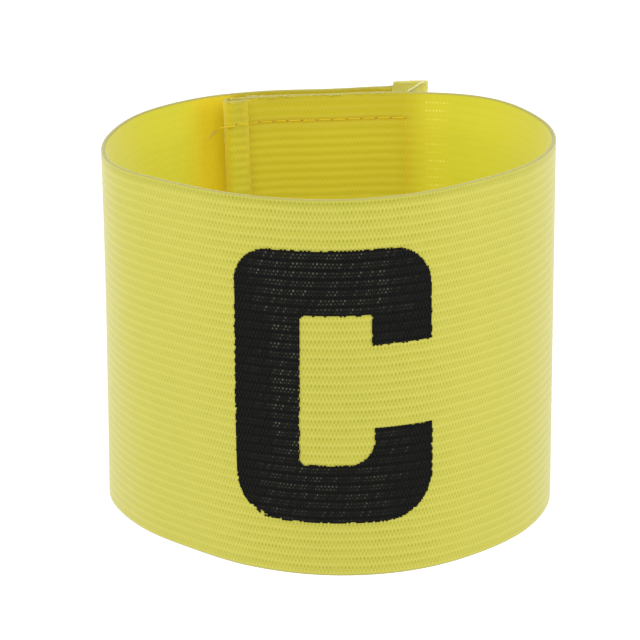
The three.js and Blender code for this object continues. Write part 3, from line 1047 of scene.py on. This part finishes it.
add_numbers(letter, "thin_ink", thin_corners[used])

# %% [markdown]
# ## Black ink
# Ink on yarn is matt, and the knit still shows through it. The bars of yarn are a little lighter
# than the black between them. In the holes where the ink is thin a speck of yarn shows, brighter in
# one hole than in the next, so each hole draws its own number from a noise that is different for
# every stitch and rib. Plain black would look like plastic foil. The waves of the knit are used once
# more, because they keep the specks in the very holes of the cloth beside the letter.

# %% The ink's finish
CREST_BARS, FURROW_BARS = 0.55, 0.10
CREST_SPECKS, FURROW_SPECKS = 0.54, 0.18
FURROW_SPECK_SHARE = 0.7
INK = from_screen(6, 6, 6)
INK_HIGH = from_screen(29, 29, 28)
SPECK = from_screen(116, 116, 96)


def specks(finish, stitch, rib, shift, place):
    """Bright spots of yarn, each with its own strength."""
    hole, row = (stitch - shift).rounded(), (rib - place).rounded()
    hole_cell = finish.node("ShaderNodeCombineXYZ", X=hole, Y=row)
    settings = {"noise_dimensions": "2D"}
    chance = finish.node("ShaderNodeTexWhiteNoise", settings, Vector=hole_cell)
    return spots(stitch, rib, shift, place, wide=4.0, tall=11.0) * (chance**2.0 * 1.1 + 0.15)


def ink_finish():
    finish = Finish("black_ink")
    along, up = finish.place_on_strip()
    stitch, rib = knit_counts(finish, along, up)
    fibres = finish.noise(along, up, 0.25 * MM, 0.25 * MM, 3.0)
    crest_bars = spots(stitch, rib, 0, CREST_BARS, wide=1.5, tall=1.5)
    furrow_bars = spots(stitch, rib, 0.5, FURROW_BARS, wide=1.5, tall=1.5)
    bars = crest_bars + furrow_bars
    loose_ends = (fibres - 0.45).most(0.0) * 1.2
    colour = finish.mix((bars * 0.80 + loose_ends).least(1.0), INK, INK_HIGH)
    crest_holes = specks(finish, stitch, rib, 0.5, CREST_SPECKS)
    furrow_holes = specks(finish, stitch, rib, 0, FURROW_SPECKS) * FURROW_SPECK_SHARE
    open_holes = crest_holes + furrow_holes
    patches = finish.noise(along, up, 9 * MM, 2 * MM).over(0.15, 0.65) * 0.7 + 0.3
    shown = (open_holes * finish.number("thin_ink") * patches).least(1.0)
    colour = finish.mix(shown, colour, SPECK)
    bump = finish.node("ShaderNodeBump", Height=bars * 0.08 + fibres * 0.04, Distance=MM, Strength=0.8)
    return finish.surface(Base_Color=colour, Roughness=0.8, Normal=bump, specular=0.05)


letter.data.materials.append(ink_finish())

# %% [markdown]
# ## The sewing threads
# Each patch is sewn on with a lockstitch round its four sides. A lockstitch shows as a row of short
# bars with a needle hole between two bars, and each bar rises a little in the middle, because the
# thread is pulled down at both holes. Curves with a round bevel could make them, but then each bar
# would be an object or a spline of its own. Here one bar is a thin tube along a shallow arc, a seam is
# the same bar repeated along a path on the cloth, and all the seams are one mesh.

# %% A bar of thread along points
def tube(points, radii, sides=7):
    """Points and faces of a closed tube through points, with one radius at each."""
    points = np.asarray(points, float)
    ahead = np.gradient(points, axis=0)
    ahead /= np.linalg.norm(ahead, axis=1, keepdims=True)
    helper = np.where(np.abs(ahead[:, 2:3]) < 0.9, [[0, 0, 1.0]], [[1.0, 0, 0]])
    across = np.cross(ahead, helper)
    across /= np.linalg.norm(across, axis=1, keepdims=True)
    up = np.cross(across, ahead)
    turn = np.arange(sides) / sides * TURN
    cosine, sine = np.cos(turn)[None, :, None], np.sin(turn)[None, :, None]
    ring = cosine * across[:, None] + sine * up[:, None]
    rings = points[:, None] + np.asarray(radii)[:, None, None] * ring
    count = len(points)
    a, b = np.meshgrid(np.arange(count - 1), np.arange(sides), indexing="ij")
    following = (b + 1) % sides
    this_ring, next_ring = a * sides, (a + 1) * sides
    faces = np.stack([this_ring + b, this_ring + following, next_ring + following, next_ring + b], -1)
    faces = faces.reshape(-1, 4)
    first_middle, last_middle = np.full(sides, count * sides), np.full(sides, count * sides + 1)
    side = np.arange(sides)
    next_side = (side + 1) % sides
    last_ring = (count - 1) * sides
    first_cap = np.stack([first_middle, next_side, side], -1)
    last_cap = np.stack([last_middle, last_ring + side, last_ring + next_side], -1)
    triangles = np.concatenate([faces[:, [0, 1, 2]], faces[:, [0, 2, 3]], first_cap, last_cap])
    return np.concatenate([rings.reshape(-1, 3), points[:1], points[-1:]]), triangles


def joined(parts):
    """Several meshes as one, as points and faces."""
    points, faces, count = [], [], 0
    for part_points, part_faces in parts:
        points.append(part_points)
        faces.append(part_faces + count)
        count += len(part_points)
    return np.concatenate(points), np.concatenate(faces)


# %% Seams as paths on the cloth
THREAD = 0.15
STITCH = 3.1
BAR_STEPS = np.array([0.04, 0.10, 0.22, 0.38, 0.5, 0.62, 0.78, 0.90, 0.96])
BAR_ARCH = np.array([-0.25, -0.12, -0.05, -0.03, -0.02, -0.03, -0.05, -0.12, -0.25])
BAR_RADII = THREAD * np.array([0.7, 0.95, 1.0, 1.05, 1.05, 1.05, 1.0, 0.95, 0.7])
NEEDLE_HOLE = 0.20
# A needle hole is set by four points on the cloth: its centre, and one a little further along, one a
# little further up and one a little further out.
NEAR_ALONG = np.array([0, 0.2, 0, 0])
NEAR_UP = np.array([0, 0, 0.2, 0])
NEAR_OFF = np.array([0.03, 0.03, 0.03, 0.2])
FLAP_EDGE = run_at(inner_raw) - run_at(BACK)
needle_holes = []
print(f"a thread of {2 * THREAD:.1f} mm, with a needle hole every {STITCH} mm")


def needle_hole(centre, across, up, out):
    """A dimple as a flat lens of eight corners, made dark with painted shade."""
    turn = np.arange(8) / 8 * TURN
    ring = centre + NEEDLE_HOLE * (np.cos(turn)[:, None] * across + np.sin(turn)[:, None] * up)
    points = np.concatenate([ring, [centre + 0.05 * out, centre - 0.05 * out]])
    a, b = np.arange(8), (np.arange(8) + 1) % 8
    front = np.stack([a, b, np.full(8, 8)], -1)
    rear = np.stack([b, a, np.full(8, 9)], -1)
    return points, np.concatenate([front, rear])


def seam_bars(start, stop, place, holes=True):
    """Bars between two ends of a path. The place gives a point from a distance and a height off it."""
    length = np.linalg.norm(np.subtract(stop, start))
    count = max(1, round(length / STITCH))
    bars = []
    for k in range(count):
        t = (k + BAR_STEPS) / count
        path = np.asarray(start) + (np.asarray(stop) - start) * t[:, None]
        bars.append(tube(place(path[:, 0], path[:, 1], BAR_ARCH), BAR_RADII))
    for k in range(count + 1 if holes else 0):
        at = np.asarray(start) + (np.asarray(stop) - start) * k / count
        near = place(at[0] + NEAR_ALONG, at[1] + NEAR_UP, NEAR_OFF)
        ways = [(point - near[0]) / np.linalg.norm(point - near[0]) for point in near[1:]]
        needle_holes.append(needle_hole(near[0], *ways))
    return bars


def on_inner_end(along, height, off):
    """A point on the ring's inside, on the first layer, from the middle of the back."""
    angle = np.array([angle_after(BACK, d) for d in along])
    level = height / STRIP_WIDTH
    on_flap = smoothstep(along, FLAP_EDGE - 0.1, FLAP_EDGE + 0.1)
    on_band = rim_taper(angle, height) - back_relief(angle, height) + SEAM_DIP
    skin = -WALL - on_flap * (WALL + FOLD_SLIT) + (1 - on_flap) * on_band
    plan = beside_outline(angle + lean_at(angle, level), level, skin - off)
    return np.concatenate([plan, height[:, None]], -1)


def on_outer_end(along, height, off):
    """A point on the outside of the ring's outer layer, from the middle of the back."""
    angle = np.array([angle_after(BACK, d) for d in along]) - 360
    level = height / STRIP_WIDTH
    plan = beside_outline(angle, level, lift_at(angle) + face_relief(height) + off)
    return np.concatenate([plan, height[:, None]], -1)


# %% Sew both patches
low_row, top_row = SEAM_INSET, STRIP_WIDTH - SEAM_INSET
TOP_SEAM_START, LOW_SEAM_START = 21.2, 22.0
FLAP_SEAM_RISE = 0.5
HEM_SEAM = FLAP_EDGE - 0.32
HEM_SEAM_TOP = STRIP_WIDTH - 0.8
OUTER_SEAM_END, OUTER_SEAM_START, OUTER_ROW_START = 19.2, -11.6, -18.6
flap_row = top_row + FLAP_SEAM_RISE
threads = []
threads += seam_bars((TOP_SEAM_START, flap_row), (FLAP_EDGE, top_row + FLAP_SEAM_RISE / 2), on_inner_end)
threads += seam_bars((FLAP_EDGE, top_row), (PATCH_SEAM_END, top_row), on_inner_end)
threads += seam_bars((PATCH_SEAM_END, top_row), (PATCH_SEAM_END, low_row), on_inner_end, holes=False)
threads += seam_bars((PATCH_SEAM_END, low_row), (LOW_SEAM_START, low_row), on_inner_end)
threads += seam_bars((HEM_SEAM, low_row), (HEM_SEAM, HEM_SEAM_TOP), on_inner_end, holes=False)
threads += seam_bars((OUTER_ROW_START, top_row), (OUTER_SEAM_END, top_row), on_outer_end)
threads += seam_bars((OUTER_SEAM_END, top_row), (OUTER_SEAM_END, low_row), on_outer_end)
threads += seam_bars((OUTER_SEAM_END, low_row), (OUTER_ROW_START, low_row), on_outer_end)
threads += seam_bars((OUTER_SEAM_START, low_row), (OUTER_SEAM_START, top_row), on_outer_end)
print(f"{len(threads)} bars of thread and {len(needle_holes)} needle holes")

# %% The loose end of the thread
# It leaves the first needle hole and falls a little as it runs past the end of the strip.
def near_back(along, height, outward):
    """A point beside the back of the ring, from the middle of the back."""
    angle = np.array([angle_after(BACK, d) for d in along])
    plan = beside_outline(angle, height / STRIP_WIDTH, outward)
    return np.concatenate([plan, height[:, None]], -1)


FLAP_SKIN = -2 * WALL - FOLD_SLIT
tail_run = np.array([TOP_SEAM_START, 21.6, 22.4, 23.4, 24.3, 25.1])
tail_height = flap_row + np.array([0.0, -0.25, -0.32, -0.28, -0.30, -0.36])
tail_outward = FLAP_SKIN - np.array([-0.2, 0.2, 0.22, 0.2, 0.1, -0.1])
tail_radii = THREAD * np.array([0.9, 1, 1, 1, 0.9, 0.6])
threads.append(tube(near_back(tail_run, tail_height, tail_outward), tail_radii))
thread_points = sum(len(part[0]) for part in threads)
seam_threads = make_piece("seam_threads", *joined(threads + needle_holes))
add_numbers(seam_threads, "needle_hole", np.arange(len(seam_threads.data.vertices)) >= thread_points)


# %% The thread's finish
THREAD_DARK = from_screen(186, 157, 16)
THREAD_LIGHT = from_screen(208, 180, 26)
# The next colour is painted shade in the needle holes.
NEEDLE_HOLE_SHADE = from_screen(158, 124, 4)
THREAD_GLOW = (0.06, 0.045, 0.0, 1)


def thread_finish():
    finish = Finish("golden_thread")
    place = finish.node("ShaderNodeTexCoord", output=3)
    twist = finish.node("ShaderNodeTexNoise", Vector=place, Scale=2600.0, Detail=2.0)
    shade = finish.mix(twist, THREAD_DARK, THREAD_LIGHT)
    # The needle holes are made dark: painted shade in the pits where the thread goes down.
    shade = finish.mix(finish.number("needle_hole"), shade, NEEDLE_HOLE_SHADE)
    bump = finish.node("ShaderNodeBump", Height=twist * 0.05, Distance=MM, Strength=0.8)
    return finish.surface(
        Base_Color=shade,
        Roughness=0.55,
        Normal=bump,
        Emission_Color=THREAD_GLOW,
        Emission_Strength=1.0,
        sheen=0.2,
        specular=0.2,
    )


seam_threads.data.materials.append(thread_finish())

# %% [markdown]
# ## Loose fibres
# Where the strip was cut and folded its edge has frayed. Fine pale fibres lie across the tops of
# both hems, a loose thread crosses the outer hem, and a small wisp stands beside the inner fold.
# Blender's hair could grow them, but it isn't a mesh and spreads over a whole face. Here each fibre is
# a very thin tube bent by three points, and a table says where they lie.

# %% Places of the fibres, in millimetres from the middle of the back
FIBRE = 0.055
FRAYED = [
    dict(
        place="inner hem",
        along=(18.4, 23.0),
        height=(74.8, 75.1),
        outward=(-2.6, 0.2),
        reach=1.6,
        pale=0.08,
        count=80,
    ),
    dict(
        place="beside it",
        along=(14.0, 17.2),
        height=(74.8, 75.05),
        outward=(-1.1, 1.2),
        reach=1.4,
        pale=0.28,
        count=30,
    ),
    dict(
        place="inner rim",
        along=(-14.0, 13.6),
        height=(74.7, 75.0),
        outward=(-1.2, 0.0),
        reach=1.2,
        pale=0.2,
        count=90,
    ),
    dict(
        place="outer hem",
        along=(-18.8, -13.6),
        height=(76.3, 76.6),
        outward=(1.6, 3.4),
        reach=1.4,
        pale=0.6,
        count=34,
    ),
]
BUNDLES = [
    dict(
        place="crossing thread",
        start=(-15.6, 74.3),
        stop=(-19.0, 76.7),
        outward=1.55,
        wide=0.5,
        pale=0.8,
        count=9,
        radius=0.055,
    ),
    dict(
        place="wisp",
        start=(23.2, 67.8),
        stop=(25.9, 65.5),
        outward=2.55,
        wide=1.3,
        pale=0.25,
        count=5,
        radius=0.03,
    ),
]
FIBRE_SHAPE = np.array([0.5, 0.9, 1, 1, 1, 0.9, 0.5])
fray = np.random.default_rng(11)


def fibre_tube(start, middle, stop, radius=FIBRE):
    """A fine tube that leaves its start towards the middle and bends to its stop."""
    t = np.linspace(0, 1, len(FIBRE_SHAPE))[:, None]
    bend = (1 - t) ** 2 * np.array(start) + 2 * t * (1 - t) * np.array(middle) + t**2 * np.array(stop)
    return tube(near_back(*bend.T), radius * FIBRE_SHAPE, sides=5)


# %% Lay the fibres
fibres = []
fibre_pale = []
for row in FRAYED:
    for _ in range(row["count"]):
        centre = np.array([fray.uniform(*row[key]) for key in ("along", "height", "outward")])
        reach = np.array([row["reach"], 0.16, 0.7]) * fray.uniform(-0.5, 0.5, 3)
        middle = centre + np.array([0.3, 0.2, 0.3]) * fray.uniform(-1, 1, 3)
        fibres.append(fibre_tube(centre - reach, middle, centre + reach))
        fibre_pale += [row["pale"]] * len(fibres[-1][0])
for bundle in BUNDLES:
    scatter = np.array([bundle["wide"], bundle["wide"], 0.2])
    for _ in range(bundle["count"]):
        start = np.array([*bundle["start"], bundle["outward"]]) + fray.uniform(-0.5, 0.5, 3) * scatter
        stop = np.array([*bundle["stop"], bundle["outward"]]) + fray.uniform(-0.5, 0.5, 3) * scatter
        middle = (start + stop) / 2 + fray.uniform(-0.3, 0.3, 3) * [1, 1, 0.3]
        fibres.append(fibre_tube(start, middle, stop, bundle["radius"]))
        fibre_pale += [bundle["pale"]] * len(fibres[-1][0])
loose_fibres = make_piece("loose_fibres", *joined(fibres))
add_numbers(loose_fibres, "pale", fibre_pale)
print(f"{len(fibres)} loose fibres")


# %% The fibres' finish
FIBRE_GOLDEN = from_screen(190, 178, 56)
FIBRE_PALE = from_screen(236, 232, 192)


def fibre_finish():
    finish = Finish("pale_fibre")
    place = finish.node("ShaderNodeTexCoord", output=3)
    shade = finish.node("ShaderNodeTexNoise", Vector=place, Scale=900.0, Detail=2.0)
    pale = (shade - 0.5) * 0.4 + finish.number("pale")
    colour = finish.mix(pale, FIBRE_GOLDEN, FIBRE_PALE)
    return finish.surface(Base_Color=colour, Roughness=0.7, sheen=0.2, specular=0.1)


loose_fibres.data.materials.append(fibre_finish())

# %% [markdown]
# ## Hook tape and loop tape
# The two patches lie between the layers, and only their upper edges can be seen from above. Each is
# a thin woven base. The hook side carries rows of small stiff hooks, and the loop side carries soft
# bent loops. A rough material on a flat slab would do from far off, but in the gap between the layers
# the hooks and loops are what is seen. So both are many copies of one small tube, joined into one mesh
# with the base.

# %% A woven base bent round the ring
TAPE_HEIGHT = 67.0
TAPE_LOW, TAPE_HIGH = (STRIP_WIDTH - TAPE_HEIGHT) / 2, (STRIP_WIDTH + TAPE_HEIGHT) / 2
BASE_THICKNESS = 0.4
BASE_STEPS = 35
print(f"the patches reach from {TAPE_LOW} to {TAPE_HIGH} mm")


def tape_base(edge, end, outward, sway=False):
    """A closed slab between two angles whose inner face stands so far outside the first turn."""
    angles = spread(edge, end, 2.0)[:, None]
    up = np.linspace(TAPE_LOW, TAPE_HIGH, BASE_STEPS)
    height = np.concatenate([up, up[::-1]])[None, :]
    off = np.concatenate([np.full(BASE_STEPS, BASE_THICKNESS), np.zeros(BASE_STEPS)])[None, :]
    lean = lean_at(angles, height / STRIP_WIDTH) if sway else 0 * height
    plan = beside_outline(angles + lean, height / STRIP_WIDTH, outward(angles) + off)
    points = np.concatenate([plan, np.broadcast_to(height, plan.shape[:2])[..., None]], -1)
    rows, around = points.shape[:2]
    a, b = np.meshgrid(np.arange(rows - 1), np.arange(around), indexing="ij")
    following = (b + 1) % around
    this_row, next_row = a * around, (a + 1) * around
    faces = np.stack([this_row + b, this_row + following, next_row + following, next_row + b], -1)
    faces = faces.reshape(-1, 4)
    left, right = np.arange(around // 2), np.arange(around)[::-1][: around // 2]
    cap = np.stack([left[:-1], right[:-1], right[1:], left[1:]], -1)
    if edge < end:
        faces, cap = faces[:, ::-1], cap[:, ::-1]
    faces = np.concatenate([faces, cap, cap[:, ::-1] + (rows - 1) * around])
    triangles = np.concatenate([faces[:, [0, 1, 2]], faces[:, [0, 2, 3]]])
    return points.reshape(-1, 3), triangles


STRAND_JITTER = 0.12
STRAND_SIDES = 5


def standing_strands(edge, end, outward, profile, radius, pitch, sway=False):
    """Many copies of one bent strand on a base. The profile is its (along, up, off) points."""
    strands = []
    lengths = np.arange(1.2, abs(run_at(end) - run_at(edge)) - 1.0, pitch)
    rows = np.arange(TAPE_LOW + 1.2, TAPE_HIGH - 0.8, pitch)
    direction = 1 if end > edge else -1
    along, up, off = (np.asarray(column) for column in zip(*profile))
    for row, height in enumerate(rows):
        for length in lengths:
            angle = angle_at(run_at(edge) + direction * (length + (row % 2) * pitch / 2))
            jitter = dice.normal(0, STRAND_JITTER, 3)
            heights = height + up + jitter[1]
            level = heights / STRIP_WIDTH
            lean = lean_at(angle, level) if sway else 0 * level
            plan = beside_outline(angle + lean, level, outward(angle) + off, along + jitter[0])
            path = np.concatenate([plan, heights[:, None]], -1)
            strands.append(tube(path, np.full(len(profile), radius), STRAND_SIDES))
    return strands


# %% The hook patch
HOOK_TAPE_INSET, HOOK_TAPE_WIDTH = 4.0, 38.0
hook_edge = angle_after(INNER_END, -HOOK_TAPE_INSET)
hook_end = angle_after(hook_edge, -HOOK_TAPE_WIDTH)
HOOK = [(0.0, 0.0, 0.35), (0.0, 0.05, 0.72), (0.0, 0.22, 0.95), (0.0, 0.42, 0.88), (0.0, 0.48, 0.72)]
HOOK_RADIUS, HOOK_PITCH = 0.08, 1.7


def hook_base_face(angle):
    """The base lies just outside the first turn."""
    return CLEARANCE + 0 * angle


hook_parts = [tape_base(hook_edge, hook_end, hook_base_face, sway=True)]
hook_parts += standing_strands(
    hook_edge, hook_end, hook_base_face, HOOK, HOOK_RADIUS, HOOK_PITCH, sway=True
)
hook_patch = make_piece("hook_patch", *joined(hook_parts))

# %% The loop patch
LOOP_TAPE_INSET, LOOP_TAPE_WIDTH = 8.3, 32.4
loop_edge = angle_after(OUTER_END, LOOP_TAPE_INSET)
loop_end = angle_after(loop_edge, LOOP_TAPE_WIDTH)
LOOP = [(-0.35, 0.0, 0.1), (-0.28, 0.08, -0.3), (0.0, 0.2, -0.58), (0.28, 0.1, -0.3), (0.35, 0.0, 0.1)]
LOOP_RADIUS, LOOP_PITCH = 0.06, 1.5


def loop_base_face(angle):
    """The base lies just inside the outer layer."""
    return lift_at(angle) - WALL - CLEARANCE - BASE_THICKNESS


loop_parts = [tape_base(loop_edge, loop_end, loop_base_face)]
loop_parts += standing_strands(loop_edge, loop_end, loop_base_face, LOOP, LOOP_RADIUS, LOOP_PITCH)
loop_patch = make_piece("loop_patch", *joined(loop_parts))


# %% Finishes of the patches
WEAVE_PITCH = 0.5
HOOK_LIGHT, HOOK_SHADE = from_screen(222, 214, 110), from_screen(196, 184, 76)
LOOP_LIGHT, LOOP_SHADE = from_screen(224, 216, 118), from_screen(190, 178, 70)


def tape_finish(name, light, dark, roughness):
    finish = Finish(name)
    place = finish.node("ShaderNodeTexCoord", output=3)
    up = finish.node("ShaderNodeSeparateXYZ", output=2, Vector=place)
    weave = (up * (TURN / (WEAVE_PITCH * MM))).cosine() * 0.5 + 0.5
    fuzz = finish.node("ShaderNodeTexNoise", Vector=place, Scale=1500.0, Detail=3.0)
    colour = finish.mix((weave * 0.5 + fuzz * 0.5).least(1.0), dark, light)
    bump = finish.node("ShaderNodeBump", Height=weave * 0.05 + fuzz * 0.05, Distance=MM, Strength=0.7)
    return finish.surface(Base_Color=colour, Roughness=roughness, Normal=bump, sheen=0.2, specular=0.3)


hook_patch.data.materials.append(tape_finish("hook_tape", HOOK_LIGHT, HOOK_SHADE, 0.6))
loop_patch.data.materials.append(tape_finish("loop_tape", LOOP_LIGHT, LOOP_SHADE, 0.9))

# %% [markdown]
# ## Put the pieces on the one body, in place of the imported ones
# The imported model knows its pieces by name, and each piece of this lesson hides the one that it
# stands for. Everything is soft and moves as one, so all the pieces ride on the one body.

for piece, node, slot in (
    (band, "elastic_band", "knitted_elastic"),
    (letter, "printed_letter", "letter_print"),
    (hook_patch, "hook_tape", "hook_patch"),
    (loop_patch, "loop_tape", "loop_patch"),
):
    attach(piece, "root")
    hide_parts(node)
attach(seam_threads, "root")
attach(loose_fibres, "root")

# %% [markdown]
# ## Studio
# The photograph has a white ground without a visible shadow, and soft light from all sides that is a
# little stronger at the left and the right. A picture of a real studio could light the ring, but it
# would bring its own colours. A plain white world gives the light from all round, three soft windows
# model the form, and the floor is bright enough to turn white.

# %% The floor
FLOOR_HALF = 3.0
FLOOR_GREY = (0.30, 0.30, 0.30, 1)
FLOOR_GLOW = 0.85
floor_mesh = bpy.data.meshes.new("studio_floor")
floor_corners = [(-1, -1), (1, -1), (1, 1), (-1, 1)]
floor_points = [(x * FLOOR_HALF, y * FLOOR_HALF, 0) for x, y in floor_corners]
floor_mesh.from_pydata(floor_points, [], [(0, 1, 2, 3)])
floor = bpy.data.objects.new("studio_floor", floor_mesh)
bpy.context.scene.collection.objects.link(floor)
floor_finish = Finish("white_floor")
floor_mesh.materials.append(
    floor_finish.surface(
        Base_Color=FLOOR_GREY,
        Roughness=0.9,
        specular=0.0,
        Emission_Color=(1, 1, 1, 1),
        Emission_Strength=FLOOR_GLOW,
    )
)

# %% The white world
WORLD_STRENGTH = 0.60
world = bpy.data.worlds.new("studio")
bpy.context.scene.world = world
world.use_nodes = True
background = world.node_tree.nodes["Background"]
background.inputs["Color"].default_value = (1, 1, 1, 1)
background.inputs["Strength"].default_value = WORLD_STRENGTH
print("the world's strength is", WORLD_STRENGTH)

# %% Three soft windows
LAMPS = [
    dict(name="left_window", place=(-0.9, -0.20, 0.42), size=(0.6, 0.8), power=5.5),
    dict(name="right_window", place=(0.9, -0.20, 0.42), size=(0.6, 0.8), power=5.5),
    dict(name="front_window", place=(0.0, -0.85, 0.95), size=(1.6, 0.9), power=9.5),
]


def lamp(name, place, size, power):
    """A soft window that faces the ring."""
    light = bpy.data.lights.new(name, "AREA")
    light.shape = "RECTANGLE"
    light.size, light.size_y = size
    light.energy = power
    holder = bpy.data.objects.new(name, light)
    holder.location = place
    holder.rotation_euler = (LOOKS_AT - Vector(place)).to_track_quat("-Z", "Y").to_euler()
    bpy.context.scene.collection.objects.link(holder)
    print(f"{name}: {power} W")


for row in LAMPS:
    lamp(**row)

# %% How light turns into colours on the screen
view = bpy.context.scene.view_settings
view.view_transform = "Standard"
view.look = "None"
view.exposure = 0.0
view.gamma = 1.0
print("view transform:", view.view_transform)
